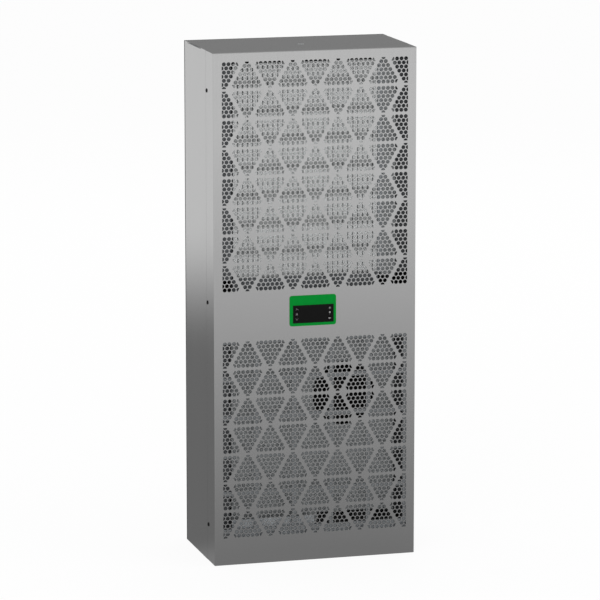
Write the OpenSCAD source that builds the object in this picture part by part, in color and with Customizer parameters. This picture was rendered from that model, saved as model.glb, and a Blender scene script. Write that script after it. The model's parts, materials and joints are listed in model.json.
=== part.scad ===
// Wall-mounted cooling unit for an electrical enclosure.
// Millimetres, +Z up, the punched front looks towards -Y, the enclosure is on the +Y side.
// The origin is the middle of the footprint, on the plane that the case stands on.

/* [Case] */
// Width of the case across its side walls
case_w = 370; // [350:1:420]
// Height of the case
case_h = 915; // [905:1:980]
// Depth from the punched face to the back of the gasket
case_d = 208; // [204:1:240]
// Sheet thickness of the front cover
cover_t = 1.2; // [1:0.1:1.8]
// Outside radius of the cover's folds
fold_r = 2.5; // [2:0.1:4]
// Depth of the front cover, up to the seam on the side
cover_d = 51; // [46:1:60]
// Width of the seam between the cover and the housing
seam_gap = 0.6; // [0.4:0.1:1.2]
// Sheet thickness of the housing and of its back plate
housing_t = 1.5; // [1.2:0.1:2]
// Length of the housing's lip under the cover
lip_len = 15; // [12:1:18]
// Play between the cover and the housing's lip
lip_play = 0.3; // [0.2:0.1:0.6]
// Thickness of the rear gasket
gasket_t = 6; // [4:0.5:8]
// Width of the rear gasket
gasket_w = 14; // [10:1:18]
// Length of the relief in the housing's top edges
edge_relief_len = 87; // [40:1:100]
// Depth of that relief
edge_relief_h = 2; // [1:0.5:4]
// Start of that relief behind the face
edge_relief_d = 94; // [70:1:96]

/* [Punched face] */
// Diameter of a punched hole
hole_d = 6.5; // [4.5:0.1:6.9]
// Distance between the holes of a row
hole_pitch = 8.26; // [8:0.01:8.4]
// Rows of holes in one triangular cell
cell_rows = 7; // [4:1:7]
// Height from one band of cells to the next
band_pitch = 51.25; // [50:0.05:52]
// Height of a band, where it cuts the corner holes
band_h = 46.9; // [46:0.1:48]
// Bands of cells in the upper field
upper_bands = 8; // [2:1:8]
// Bands of cells in the lower field
lower_bands = 7; // [2:1:7]
// Plain margin above the upper field
upper_margin = 16; // [12:0.5:24]
// Plain margin below the lower field
lower_margin = 49.4; // [40:0.1:55]
// Width of the punched fields
field_w = 338.5; // [330:0.5:345]
// How far punching sets a cell's web back from the sheet
cell_dish = 0.05; // [0.02:0.01:0.1]
// Plain edge that a cell keeps outside its holes
cell_land = 0.6; // [0.3:0.1:1]

/* [Display] */
// Width of the display's frame
bezel_w = 85.3; // [80:0.1:95]
// Height of the display's frame
bezel_h = 54.7; // [50:0.1:60]
// Corner radius of the display's frame
bezel_r = 4.5; // [2:0.1:6]
// Thickness of the display's frame
bezel_t = 1.2; // [0.8:0.1:2]
// Sideways place of the display's frame from the middle
bezel_x = -4.8; // [-20:0.1:20]
// Height of the middle of the display's frame
bezel_z = 453.7; // [450:0.1:460]
// Width of the controller's window
window_w = 74.5; // [74:0.1:78]
// Height of the controller's window
window_h = 32; // [31:0.1:36]
// How far the window stands out of its frame
window_proud = 0.5; // [0.2:0.1:1]
// Shift of the window from the frame's middle
window_dx = 0.7; // [-2:0.1:2]
// Drop of the window below the frame's middle
window_drop = 6; // [2:0.1:8]
// Diameter of a key
key_d = 7; // [5:0.1:7.2]
// Travel of a key
key_travel = 0.5; // [0.3:0.05:0.8]
// Distance between the two columns of keys
key_col_pitch = 60.4; // [56:0.1:61]
// Distance between the keys of a column
key_row_pitch = 9; // [9:0.1:9.4]
// Depth of the controller behind the face
controller_d = 58; // [40:1:64]

/* [Condenser] */
// Width of the condenser's fin block
cond_w = 270; // [240:1:274]
// Rows of tubes in the condenser
cond_rows = 15; // [6:1:15]
// Place of the fin block's front behind the face
cond_d = 30; // [28:1:34]
// Height of the fin block's lower edge
cond_z = 511; // [508:1:516]
// Sideways place of the fin block's middle
cond_x = -9; // [-12:1:-4]
// Distance between fins
fin_pitch = 9.14; // [6:0.01:12]

/* [Coils] */
// Outside diameter of a coil tube
tube_d = 9.5; // [8:0.1:10]
// Distance between tube rows
tube_pitch = 25.4; // [24:0.1:25.5]
// Depth of one column of tubes
column_d = 22; // [20:0.5:22.5]
// Thickness of a fin
fin_t = 0.6; // [0.4:0.1:1]
// Thickness of a coil's end plates
end_plate_t = 1.2; // [1:0.1:2]

/* [Fans] */
// Side of a fan's square frame
fan_size = 119; // [110:1:122]
// Depth of a fan
fan_depth = 38; // [36:1:40]
// Diameter of a fan's air passage
fan_bore = 114; // [100:0.5:114]
// Distance between a fan's screws
fan_screw_pitch = 104.8; // [100:0.1:106]
// Diameter of a fan's hub
hub_d = 52; // [44:1:56]
// Number of blades
blade_count = 7; // [5:1:9]
// Gap between the blade tips and the frame
tip_gap = 1.5; // [1:0.1:3]
// Sideways place of the condenser fan
cond_fan_x = 59.7; // [58:0.1:66]
// Height of the condenser fan's middle
cond_fan_z = 296; // [280:1:310]
// Height of the evaporator fan's middle
evap_fan_z = 770; // [700:1:800]

/* [Inner walls] */
// Place of the fan panel's front behind the face
fan_panel_d = 27; // [25:0.5:28]
// Width of the fan panel
fan_panel_w = 300; // [292:1:304]
// Sideways place of the fan panel's middle
fan_panel_x = 3; // [-2:1:6]
// Height of the fan panel's lower edge
fan_panel_low_z = 36; // [30:1:45]
// Height of the fan panel's upper edge
fan_panel_top_z = 420; // [410:1:424]
// Diameter of the fan panel's opening
fan_opening_d = 115; // [102:0.5:118]
// Thickness of the inner galvanised walls
inner_t = 1.2; // [1:0.1:1.6]
// Place of the partition behind the face
partition_d = 146; // [145:1:148]
// Pitch of the grid behind the lower field
grid_pitch = 68.5; // [60:0.1:70]
// Width of the grid's strips
grid_strip = 8; // [5:0.5:12]

/* [Refrigerant circuit] */
// Radius of the compressor's shell
comp_r = 48; // [42:1:48]
// Height of the compressor's shell
comp_h = 198; // [160:1:210]
// Outside diameter of the discharge and suction pipes
pipe_d = 8; // [6:0.5:9]
// Outside diameter of the liquid pipes
liquid_d = 6; // [5:0.5:7]
// Rows of tubes in the evaporator
evap_rows = 6; // [4:1:8]
// Height of the evaporator's lower edge
evap_z = 330; // [300:1:340]

/* [Mounts] */
// Thread diameter of the rear inserts
insert_m = 6; // [5:1:6]
// Distance between the rear inserts across the case
insert_dx = 316; // [312:1:322]
// Distance between the rear inserts up the case
insert_dz = 390; // [380:1:400]
// Thread diameter of the lifting insert
lift_m = 8; // [6:1:10]
// Place of the lifting insert behind the face
lift_d = 96; // [90:1:110]
// Width of the cold air outlet in the back plate
outlet_w = 240; // [180:1:250]
// Height of the cold air outlet
outlet_h = 90; // [60:1:96]
// Height of the outlet's lower edge
outlet_z = 110; // [105:1:125]
// Bore of the condensate spout
drain_bore = 10; // [8:0.5:12]

/* [Hidden] */
$fn = 72;

// One overrun for every cut
over = 2;
display_proud = bezel_t + window_proud;
face_y = display_proud - (case_d + display_proud) / 2;
back_d = case_d - gasket_t - housing_t;
housing_front_d = cover_d + seam_gap;
lip_inset = cover_t + lip_play;
lip_inner = lip_inset + housing_t;

row_pitch = hole_pitch * sin(60);
cell_side = (cell_rows - 1) * hole_pitch;
cell_pitch = (cell_rows + 3) * hole_pitch;
upper_top_z = case_h - upper_margin;
lower_top_z = lower_margin + (lower_bands - 1) * band_pitch + band_h;
half_cells = 2;

window_x = bezel_x + window_dx;
window_z = bezel_z - window_drop;
window_play = 0.15;
window_r = 0.5;
cutout_inset = 1.25;
case_inset = 1.75;
key_play = 0.15;
key_flange_w = 0.7;
key_flange_d = key_d + 2 * key_flange_w;
key_flange_t = 0.7;
key_flange_gap = 0.1;
key_pocket_d = key_flange_d + 2 * key_play;
key_pocket_depth = 3;

coil_depth = 2 * column_d;
cond_h = cond_rows * tube_pitch;
evap_h = evap_rows * tube_pitch;
evap_w = 280;
evap_x = 0;
evap_d = partition_d + inner_t + (back_d - partition_d - inner_t - coil_depth) / 2;
fin_gap = 2;
bell_len = 5;
bell_w = 0.5;
bell_lap = 1.5;
side_cover_w = 26;
side_cover_gap = 2;
plate_overlap = 6;

fan_flange_t = 4;
fan_ring_t = 2.2;
fan_corner_r = 5;
fan_screw_d = 4.3;
screw_play = 0.3;
screw_head_d = 7.4;
screw_head_t = 1.5;
screw_tail = 2;
strut_t = 4.5;
strut_w = 6;
strut_count = 4;
rotor_recess = 5.5;
rotor_gap = 1.5;
rotor_depth = fan_depth - rotor_recess - strut_t - rotor_gap;
hub_wall = 2;
hub_round = 4;
shaft_d = 4;
shaft_play = 0.05;
shaft_end_gap = 1;
boss_d = 9;
boss_len = 16;
boss_end = 1;
stator_gap = 2.5;
stator_d = hub_d - 2 * hub_wall - 2 * stator_gap;
blade_t = 1.6;
blade_chord = 29;
blade_camber_r = 42;
blade_pitch_angle = 38;

slot_x = 11.5;
slot_z = 57;
slot_h = 22.5;
slot_edge = 5;

grid_t = 2;
grid_cols = 6;
grid_rows = 6;
grid_x = -4.3;
grid_low_z = 61;

comp_x = -60;
comp_d = 96;
comp_dome = 16;
comp_seam_w = 1.5;
comp_seam_h = 5;
comp_seam_share = 0.7;
comp_bolt_r = 44.5;
comp_base_r = 41.5;
cradle_r = 28;
cradle_h = 5;
foot_r = 10;
foot_t = 3;
grommet_h = 11;
grommet_d = 18;
grommet_neck_d = 11;
grommet_top = 4;
bolt_d = 5;
bolt_head_d = 13;
bolt_head_t = 3;
tray_t = 2;
tray_z = lip_inner;
foot_z = tray_z + tray_t + grommet_h;
comp_z = foot_z + foot_t;
acc_r = 15;
acc_h = 110;
acc_dome = 7.5;
acc_gap = 2;
acc_x = comp_x - comp_r - acc_gap - comp_seam_w - acc_r;
acc_lift = 50;
acc_z = comp_z + acc_lift;
acc_drop = 22;
acc_strap_w = 6;
stub_h = 12;
terminal_w = 40;
terminal_h = 46;
terminal_t = 22;
terminal_sink = 6;
terminal_share = 0.33;

bend_r = 12;
pipe_run_z = 470;
discharge_x = -170;
liquid_x = -171;
suction_x = -165;
suction_d = 128;
drier_r = 9;
drier_dome = 6;
drier_top_z = 410;
drier_len = 100;
capillary_d = 4;
capillary_bend_r = 6;
capillary_low_z = 270;
pipe_hole_play = 1.5;

box_x0 = -36;
box_x1 = 148;
box_z0 = 426;
box_z1 = 500;
box_d0 = 72;
box_t = 1;
board_t = 1.6;
board_w = 110;
board_gap = 6;
standoff_d = 6;
capacitor_d = 34;
capacitor_len = 62;
relay_size = [19, 16, 15];
relay_count = 4;
relay_pitch = 22;
relay_edge = 12;
relay_drop = 16;
transformer_size = [42, 30, 25];
transformer_rise = 10;

cond_tray_z = 40;
cond_tray_h = 22;
cond_tray_t = 1.5;
spout_wall = 2;
spout_x = 120;
spout_flange_w = 4;
spout_flange_t = 3;

insert_rows = 3;
insert_len = 11.5;
insert_wall = 1.6;
insert_flange_t = 1;
insert_flange_w = 1.1;
lift_len = 18;
lift_wall = 1.6;
insert_z0 = (case_h - (insert_rows - 1) * insert_dz) / 2;
socket_x = 118;
socket_z = 600;
socket_w = 44;
socket_h = 26;
socket_len = 20;
socket_flange = 4;
socket_flange_t = 2;
socket_wall = 4;
socket_depth = 16;
pin_count = 3;
pin_pitch = 11;
pin_size = [2, 9, 6];

socket_floor_d = back_d + housing_t + socket_flange_t - socket_depth;

cover_screw_d = 45;
cover_screw_z = [66, 468.5, 845];
cover_screw_len = 9;
cover_screw_m = 4;
cover_screw_hex = 3;
cover_screw_hex_depth = 1;

steel = [0.66, 0.67, 0.67];
zinc = [0.72, 0.74, 0.76];
black = [0.08, 0.08, 0.08];
green = [0, 0.54, 0.18];
copper = [0.72, 0.42, 0.28];
alu = [0.8, 0.81, 0.82];

// Helpers: a flat shape drawn in X and Z becomes a plate that starts d behind the face
module plate_at(d, t) {
    translate([0, face_y + d + t, 0])
        rotate([90, 0, 0])
            linear_extrude(height = t)
                children();
}

// A round bar or hole along Y that starts d behind the face
module rod_y(x, z, d, len, dia) {
    translate([x, face_y + d + len, z])
        rotate([90, 0, 0])
            cylinder(d = dia, h = len);
}

module box_between(x0, x1, d0, d1, z0, z1) {
    translate([x0, face_y + d0, z0])
        cube([x1 - x0, d1 - d0, z1 - z0]);
}

// A rectangle about its middle with round corners
module round_rect(w, h, r) {
    square([w - 2 * r, h], center = true);
    square([w, h - 2 * r], center = true);
    for (sx = [-1, 1], sz = [-1, 1])
        translate([sx * (w / 2 - r), sz * (h / 2 - r)])
            circle(r = r);
}

module rect_between(x0, x1, z0, z1) {
    translate([x0, z0])
        square([x1 - x0, z1 - z0]);
}

// Front cover: outline across the sheet, with its two folds; inset is 0 outside and the sheet inside
module pan_profile(half_w, inset, back) {
    middle = half_w - fold_r;
    round_r = fold_r - inset;
    translate([-middle, inset])
        square([2 * middle, back - inset]);
    for (s = [-1, 1])
        translate([s * middle, fold_r]) {
            intersection() {
                circle(r = round_r);
                translate([s < 0 ? -round_r : 0, -round_r])
                    square(round_r);
            }
            if (back > fold_r)
                translate([s < 0 ? -round_r : 0, 0])
                    square([round_r, back - fold_r]);
        }
}

module pan_solid(inset, back) {
    intersection() {
        translate([0, face_y, -over])
            linear_extrude(height = case_h + 2 * over)
                pan_profile(case_w / 2, inset, back);
        translate([case_w / 2 + over, face_y, case_h / 2])
            rotate([0, -90, 0])
                linear_extrude(height = case_w + 2 * over)
                    pan_profile(case_h / 2, inset, back);
    }
}

// Outline of one cell about its centre: a triangle whose three tips are cut, through the corner holes
cell_centre = cell_side * tan(30) / 2;
cell_side_reach = cell_centre + hole_d / 2 + cell_land;
cell_tip_reach = band_h - hole_d / 2 - cell_centre;
cell_tip_half = (2 * cell_side_reach - cell_tip_reach) / sqrt(3);
cell_points = [
    for (a = [90, 210, 330], along = [-cell_tip_half, cell_tip_half])
        [cell_tip_reach * cos(a) - along * sin(a), cell_tip_reach * sin(a) + along * cos(a)]
];

module cell_window() {
    translate([0, hole_d / 2 + cell_centre])
        polygon(cell_points);
}

module cell_holes() {
    for (row = [0 : cell_rows - 1])
        for (i = [0 : cell_rows - 1 - row])
            translate([(i - (cell_rows - 1 - row) / 2) * hole_pitch, hole_d / 2 + row * row_pitch])
                circle(d = hole_d, $fn = 24);
}

// Cells of one band from left to right; every second one hangs from the band's upper edge
function cell_list(top_z, bands) = [
    for (band = [0 : bands - 1], i = [-2 * half_cells : 2 * half_cells])
        [i * cell_pitch / 2, top_z - band * band_pitch, (i + band) % 2 == 0, abs(i) == 2 * half_cells]
];
all_cells = concat(cell_list(upper_top_z, upper_bands), cell_list(lower_top_z, lower_bands));

module place_cell(cell) {
    translate([cell[0], cell[2] ? cell[1] : cell[1] - band_h])
        mirror([0, cell[2] ? 1 : 0])
            children();
}

// The window of a cell, where the last one of a band stops at the field's edge
module cell_opening(cell) {
    if (cell[3])
        intersection() {
            place_cell(cell)
                cell_window();
            translate([-field_w / 2, 0])
                square([field_w, case_h]);
        }
    else
        place_cell(cell)
            cell_window();
}

module cell_web(cell) {
    difference() {
        cell_opening(cell);
        place_cell(cell)
            cell_holes();
    }
}

module front_panel() color(steel) {
    difference() {
        pan_solid(0, fold_r);
        pan_solid(cover_t, fold_r + over);
        plate_at(-over, cover_t + 2 * over)
            for (cell = all_cells)
                cell_opening(cell);
        plate_at(-over, cover_t + 2 * over)
            translate([window_x, window_z])
                square([window_w - 2 * cutout_inset, window_h - 2 * cutout_inset], center = true);
    }
    for (cell = all_cells)
        plate_at(cell_dish, cover_t - 2 * cell_dish)
            cell_web(cell);
}

// A rectangular tube about the case's middle, d0 to d1 behind the face
module case_tube(d0, d1, inset, wall) {
    difference() {
        box_between(
            inset - case_w / 2, case_w / 2 - inset, d0, d1, inset, case_h - inset
        );
        box_between(
            inset + wall - case_w / 2, case_w / 2 - inset - wall, d0 - over, d1 + over,
            inset + wall, case_h - inset - wall
        );
    }
}

module screw_hole_x(s, z, dia, len) {
    translate([s * case_w / 2, face_y + cover_screw_d, z])
        rotate([0, -s * 90, 0])
            translate([0, 0, -over])
                cylinder(d = dia, h = len + over);
}

module cover_frame() color(steel)
    difference() {
        case_tube(fold_r, cover_d, 0, cover_t);
        for (s = [-1, 1], z = cover_screw_z)
            screw_hole_x(s, z, cover_screw_m + screw_play, cover_t + lip_play / 2);
    }

module cover_screws() color(black)
    for (s = [-1, 1], z = cover_screw_z)
        translate([s * case_w / 2, face_y + cover_screw_d, z])
            rotate([0, -s * 90, 0])
                difference() {
                    union() {
                        cylinder(d = cover_screw_m, h = cover_screw_len);
                        translate([0, 0, -screw_head_t])
                            cylinder(d = screw_head_d, h = screw_head_t);
                    }
                    translate([0, 0, -screw_head_t - over])
                        cylinder(d = cover_screw_hex, h = cover_screw_hex_depth + over, $fn = 6);
                }

module rear_housing() color(steel)
    difference() {
        union() {
            case_tube(housing_front_d, back_d + housing_t, 0, housing_t);
            case_tube(housing_front_d - lip_len, housing_front_d, lip_inset, housing_t);
            case_tube(housing_front_d, housing_front_d + lip_inset, housing_t / 2, lip_inner - housing_t / 2);
        }
        for (s = [-1, 1], z = cover_screw_z)
            screw_hole_x(s, z, cover_screw_m, lip_inner + over);
        for (s = [-1, 1])
            translate([s * (case_w / 2 - housing_t / 2), face_y + edge_relief_d, case_h - edge_relief_h])
                translate([s < 0 ? -over : 0, 0, 0])
                    cube([over, edge_relief_len, edge_relief_h + over]);
        translate([0, face_y + lift_d, case_h - housing_t - over])
            cylinder(d = lift_m + 2 * lift_wall, h = housing_t + 2 * over);
        translate([spout_x, face_y + (partition_d + back_d + inner_t) / 2, -over])
            cylinder(d = drain_bore + 2 * spout_wall, h = housing_t + 2 * over);
    }

module insert_places() {
    for (s = [-1, 1], i = [0 : insert_rows - 1])
        translate([s * insert_dx / 2, 0, insert_z0 + i * insert_dz])
            children();
}

module back_plate() color(zinc)
    difference() {
        plate_at(back_d, housing_t)
            difference() {
                rect_between(
                    housing_t - case_w / 2, case_w / 2 - housing_t, housing_t, case_h - housing_t
                );
                translate([0, evap_fan_z])
                    circle(d = fan_bore);
                translate([0, outlet_z + outlet_h / 2])
                    round_rect(outlet_w, outlet_h, slot_edge);
                translate([socket_x, socket_z])
                    square([socket_w, socket_h], center = true);
            }
        insert_places()
            rod_y(0, 0, back_d - over, housing_t + 2 * over, insert_m + 2 * insert_wall);
        for (sx = [-1, 1], sz = [-1, 1])
            rod_y(
                sx * fan_screw_pitch / 2, evap_fan_z + sz * fan_screw_pitch / 2, back_d - over,
                housing_t + 2 * over, fan_screw_d
            );
    }

module rear_gasket() color([0.35, 0.36, 0.37])
    plate_at(case_d - gasket_t, gasket_t)
        difference() {
            rect_between(-case_w / 2, case_w / 2, 0, case_h);
            rect_between(gasket_w - case_w / 2, case_w / 2 - gasket_w, gasket_w, case_h - gasket_w);
        }

// Blind rivet nut with a flat flange: bore along Z from the flange at 0
module rivet_nut(m, wall, len, flange_t) {
    difference() {
        union() {
            cylinder(d = m + 2 * wall, h = len);
            translate([0, 0, housing_t])
                cylinder(d = m + 2 * (wall + insert_flange_w), h = flange_t);
        }
        translate([0, 0, -over])
            cylinder(d = m, h = len - wall + over);
    }
}

module lifting_insert() color(zinc)
    translate([0, face_y + lift_d, case_h])
        rotate([180, 0, 0])
            rivet_nut(lift_m, lift_wall, lift_len, insert_flange_t);

module rear_inserts() color(zinc)
    insert_places()
        translate([0, face_y + back_d + housing_t, 0])
            rotate([90, 0, 0])
                rivet_nut(insert_m, insert_wall, insert_len, insert_flange_t);

module partition_plate() color(zinc)
    difference() {
        plate_at(partition_d, inner_t)
            rect_between(housing_t - case_w / 2, case_w / 2 - housing_t, housing_t, case_h - housing_t);
        rod_y(
            liquid_x, capillary_low_z, partition_d - over, inner_t + 2 * over, capillary_d + pipe_hole_play
        );
        rod_y(
            suction_x, coil_tube_z(evap_z, 0, 1), partition_d - over, inner_t + 2 * over,
            pipe_d + pipe_hole_play
        );
    }

module base_tray() color(zinc)
    difference() {
        box_between(
            lip_inner - case_w / 2, case_w / 2 - lip_inner, housing_front_d - lip_len, partition_d,
            tray_z, tray_z + tray_t
        );
        for (a = [0, 120, 240])
            translate([comp_x + comp_bolt_r * cos(a), face_y + comp_d + comp_bolt_r * sin(a), tray_z - over])
                cylinder(d = bolt_d, h = tray_t + 2 * over);
    }

// Display and controller
module display_bezel() color(green)
    plate_at(-bezel_t, bezel_t)
        difference() {
            translate([bezel_x, bezel_z])
                round_rect(bezel_w, bezel_h, bezel_r);
            translate([window_x, window_z])
                square([window_w + 2 * window_play, window_h + 2 * window_play], center = true);
        }

module key_places() {
    for (s = [-1, 1], row = [-1 : 1])
        translate([window_x + s * key_col_pitch / 2, 0, window_z + row * key_row_pitch])
            children();
}

module display_window() color(black)
    difference() {
        plate_at(-display_proud, display_proud)
            translate([window_x, window_z])
                round_rect(window_w, window_h, window_r);
        key_places()
            rod_y(0, 0, -display_proud - over, display_proud + 2 * over, key_d + 2 * key_play);
    }

// A key: its cap passes through the window, and a flange behind the window keeps it in
module key(s, row) color(black)
    translate([window_x + s * key_col_pitch / 2, 0, window_z + row * key_row_pitch]) {
        rod_y(0, 0, -display_proud, display_proud + key_flange_gap, key_d);
        rod_y(0, 0, key_flange_gap, key_flange_t, key_flange_d);
    }

module key_up() key(-1, 1);
module key_defrost() key(-1, 0);
module key_down() key(-1, -1);
module key_light() key(1, 1);
module key_power() key(1, 0);
module key_set() key(1, -1);

module controller_case() color([0.12, 0.12, 0.13])
    difference() {
        plate_at(0, controller_d)
            translate([window_x, window_z])
                square([window_w - 2 * case_inset, window_h - 2 * case_inset], center = true);
        key_places()
            rod_y(0, 0, -over, key_pocket_depth + over, key_pocket_d);
    }

// Grid of flat strips against the back of the lower field
module filter_grid() color([0.62, 0.66, 0.7]) {
    w = (grid_cols - 1) * grid_pitch + grid_strip;
    h = (grid_rows - 1) * grid_pitch + grid_strip;
    plate_at(cover_t, grid_t)
        difference() {
            translate([grid_x - w / 2, grid_low_z - grid_strip / 2])
                square([w, h]);
            for (col = [0 : grid_cols - 2], row = [0 : grid_rows - 2])
                translate([
                    grid_x - w / 2 + grid_strip + col * grid_pitch,
                    grid_low_z + grid_strip / 2 + row * grid_pitch
                ])
                    square(grid_pitch - grid_strip);
        }
}

// Inner walls of the outer air chamber
module fan_holes(x, z, d, len) {
    for (sx = [-1, 1], sz = [-1, 1])
        rod_y(x + sx * fan_screw_pitch / 2, z + sz * fan_screw_pitch / 2, d, len, fan_screw_d);
}

panel_x0 = fan_panel_x - fan_panel_w / 2;
panel_x1 = fan_panel_x + fan_panel_w / 2;
module fan_panel() color(zinc)
    difference() {
        plate_at(fan_panel_d, inner_t)
            difference() {
                rect_between(panel_x0, panel_x1, fan_panel_low_z, fan_panel_top_z);
                translate([cond_fan_x, cond_fan_z])
                    circle(d = fan_opening_d);
                rect_between(slot_x, panel_x1 - slot_edge, slot_z, slot_z + slot_h);
            }
        fan_holes(cond_fan_x, cond_fan_z, fan_panel_d - over, inner_t + 2 * over);
    }

module fan_box_left() color(zinc)
    difference() {
        box_between(
            panel_x0, panel_x0 + inner_t, fan_panel_d + inner_t, partition_d,
            tray_z + tray_t, fan_panel_top_z
        );
        translate([panel_x0 - over, face_y + suction_d, coil_tube_z(evap_z, 0, 1)])
            rotate([0, 90, 0])
                cylinder(d = pipe_d + pipe_hole_play, h = inner_t + 2 * over);
    }

module fan_box_right() color(zinc)
    box_between(
        panel_x1 - inner_t, panel_x1, fan_panel_d + inner_t, partition_d,
        tray_z + tray_t, fan_panel_top_z
    );

// Axial fan, drawn with its mounting face at Z = 0 and its struts at the far end
module fan_frame() {
    difference() {
        union() {
            for (z = [0, fan_depth - fan_flange_t])
                translate([0, 0, z])
                    linear_extrude(height = fan_flange_t)
                        round_rect(fan_size, fan_size, fan_corner_r);
            cylinder(d = fan_bore + 2 * fan_ring_t, h = fan_depth);
        }
        translate([0, 0, -over])
            cylinder(d = fan_bore, h = fan_depth + 2 * over);
        for (sx = [-1, 1], sy = [-1, 1])
            translate([sx * fan_screw_pitch / 2, sy * fan_screw_pitch / 2, -over])
                cylinder(d = fan_screw_d, h = fan_depth + 2 * over);
    }
    translate([0, 0, fan_depth - strut_t])
        difference() {
            union() {
                cylinder(d = hub_d, h = strut_t);
                for (i = [0 : strut_count - 1])
                    rotate([0, 0, 360 / strut_count * (i + 0.5)])
                        translate([0, -strut_w / 2, 0])
                            cube([fan_bore / 2 + fan_ring_t / 2, strut_w, strut_t]);
                translate([0, 0, -boss_len])
                    cylinder(d = boss_d, h = boss_len);
            }
            translate([0, 0, -boss_len - over])
                cylinder(d = shaft_d + 2 * shaft_play, h = boss_len + strut_t + 2 * over);
        }
}

module fan_stator() {
    translate([0, 0, fan_depth - strut_t - boss_len + boss_end])
        difference() {
            cylinder(d = stator_d, h = boss_len - boss_end);
            translate([0, 0, -over])
                cylinder(d = boss_d, h = boss_len + 2 * over);
        }
}

module blade_section() {
    rotate(blade_pitch_angle)
        translate([0, -blade_camber_r])
            intersection() {
                difference() {
                    circle(r = blade_camber_r + blade_t / 2);
                    circle(r = blade_camber_r - blade_t / 2);
                }
                translate([-blade_chord / 2, 0])
                    square([blade_chord, 2 * blade_camber_r]);
            }
}

module fan_rotor() {
    tip_r = fan_bore / 2 - tip_gap;
    hub_r = hub_d / 2;
    translate([0, 0, rotor_recess]) {
        rotate_extrude() {
            translate([hub_r - hub_wall, hub_round])
                square([hub_wall, rotor_depth - hub_round]);
            square([hub_r - hub_round, hub_wall]);
            translate([hub_r - hub_round, hub_round])
                intersection() {
                    difference() {
                        circle(r = hub_round);
                        circle(r = hub_round - hub_wall);
                    }
                    translate([0, -hub_round])
                        square(hub_round);
                }
        }
        cylinder(d = shaft_d, h = fan_depth - rotor_recess - shaft_end_gap);
        for (i = [0 : blade_count - 1])
            rotate([0, 0, 360 / blade_count * i])
                intersection() {
                    translate([hub_r - hub_wall / 2, 0, rotor_depth / 2])
                        rotate([90, 0, 90])
                            linear_extrude(height = tip_r)
                                blade_section();
                    cylinder(r = tip_r, h = rotor_depth);
                }
    }
}

module at_condenser_fan() {
    translate([cond_fan_x, face_y + fan_panel_d + inner_t, cond_fan_z])
        rotate([-90, 0, 0])
            children();
}

module at_evaporator_fan() {
    translate([0, face_y + back_d, evap_fan_z])
        rotate([90, 0, 0])
            children();
}

module fan_screws(x, z, head_d, way) {
    for (sx = [-1, 1], sz = [-1, 1])
        translate([x + sx * fan_screw_pitch / 2, face_y + head_d, z + sz * fan_screw_pitch / 2])
            rotate([-way * 90, 0, 0]) {
                cylinder(d = fan_screw_d - screw_play, h = inner_t + fan_flange_t + screw_tail);
                translate([0, 0, -screw_head_t])
                    cylinder(d = screw_head_d, h = screw_head_t);
            }
}

module condenser_fan_frame() color(black) at_condenser_fan() fan_frame();
module condenser_fan_stator() color(copper) at_condenser_fan() fan_stator();
module condenser_fan_rotor() color(black) at_condenser_fan() fan_rotor();
module condenser_fan_screws() color(zinc) fan_screws(cond_fan_x, cond_fan_z, fan_panel_d, 1);
module evaporator_fan_frame() color(black) at_evaporator_fan() fan_frame();
module evaporator_fan_stator() color(copper) at_evaporator_fan() fan_stator();
module evaporator_fan_rotor() color(black) at_evaporator_fan() fan_rotor();
module evaporator_fan_screws() color(zinc) fan_screws(0, evap_fan_z, back_d + housing_t, -1);

// Coils: two staggered columns of tubes, joined by return bends outside the end plates
function coil_tube_z(z0, row, column) = z0 + (row + 0.25 + column / 2) * tube_pitch;
function coil_tube_d(d0, column) = d0 + (column + 0.5) * column_d;

module coil_tube_circles(d0, z0, rows, dia) {
    for (row = [0 : rows - 1], column = [0, 1])
        translate([coil_tube_d(d0, column), coil_tube_z(z0, row, column)])
            circle(d = dia, $fn = 32);
}

// A flat shape drawn in depth and height becomes a plate across X
module plate_x(x, t) {
    translate([x, face_y, 0])
        rotate([90, 0, 90])
            linear_extrude(height = t)
                children();
}

module coil_fins(x, w, d0, z0, rows) {
    count = floor((w - fin_t) / fin_pitch);
    for (i = [0 : count])
        plate_x(x + (i - count / 2) * fin_pitch - fin_t / 2, fin_t)
            difference() {
                rect_between(d0, d0 + coil_depth, z0, z0 + rows * tube_pitch);
                coil_tube_circles(d0, z0, rows, tube_d);
            }
}

module return_bend(x, side, d1, z1, d2, z2) {
    gap = sqrt(pow(d2 - d1, 2) + pow(z2 - z1, 2));
    turn = atan2(z2 - z1, d2 - d1);
    translate([x, face_y + (d1 + d2) / 2, (z1 + z2) / 2])
        rotate([turn, 0, 0])
            mirror([side < 0 ? 1 : 0, 0, 0])
                rotate([0, 0, -90])
                    rotate_extrude(angle = 180)
                        translate([gap / 2, 0])
                            circle(d = tube_d, $fn = 32);
}

// Tubes with belled ends, which the return bends are brazed into
module coil_tubes(x, w, d0, z0, rows) {
    bell_x = w / 2 + fin_gap + end_plate_t;
    reach = bell_x + bell_len - bell_lap;
    for (row = [0 : rows - 1], column = [0, 1])
        translate([x, face_y + coil_tube_d(d0, column), coil_tube_z(z0, row, column)])
            rotate([0, 90, 0]) {
                cylinder(d = tube_d, h = 2 * bell_x + bell_len, center = true);
                for (s = [-1, 1])
                    translate([0, 0, s * (bell_x + bell_len / 2)])
                        cylinder(d = tube_d + 2 * bell_w, h = bell_len, center = true);
            }
    for (row = [0 : rows - 2], column = [0, 1]) {
        side = row % 2 == 0 ? 1 : -1;
        return_bend(
            x + side * reach, side, coil_tube_d(d0, column), coil_tube_z(z0, row, column),
            coil_tube_d(d0, column), coil_tube_z(z0, row + 1, column)
        );
    }
    last = rows - 1;
    side = last % 2 == 0 ? 1 : -1;
    return_bend(
        x + side * reach, side, coil_tube_d(d0, 0), coil_tube_z(z0, last, 0),
        coil_tube_d(d0, 1), coil_tube_z(z0, last, 1)
    );
}

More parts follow.
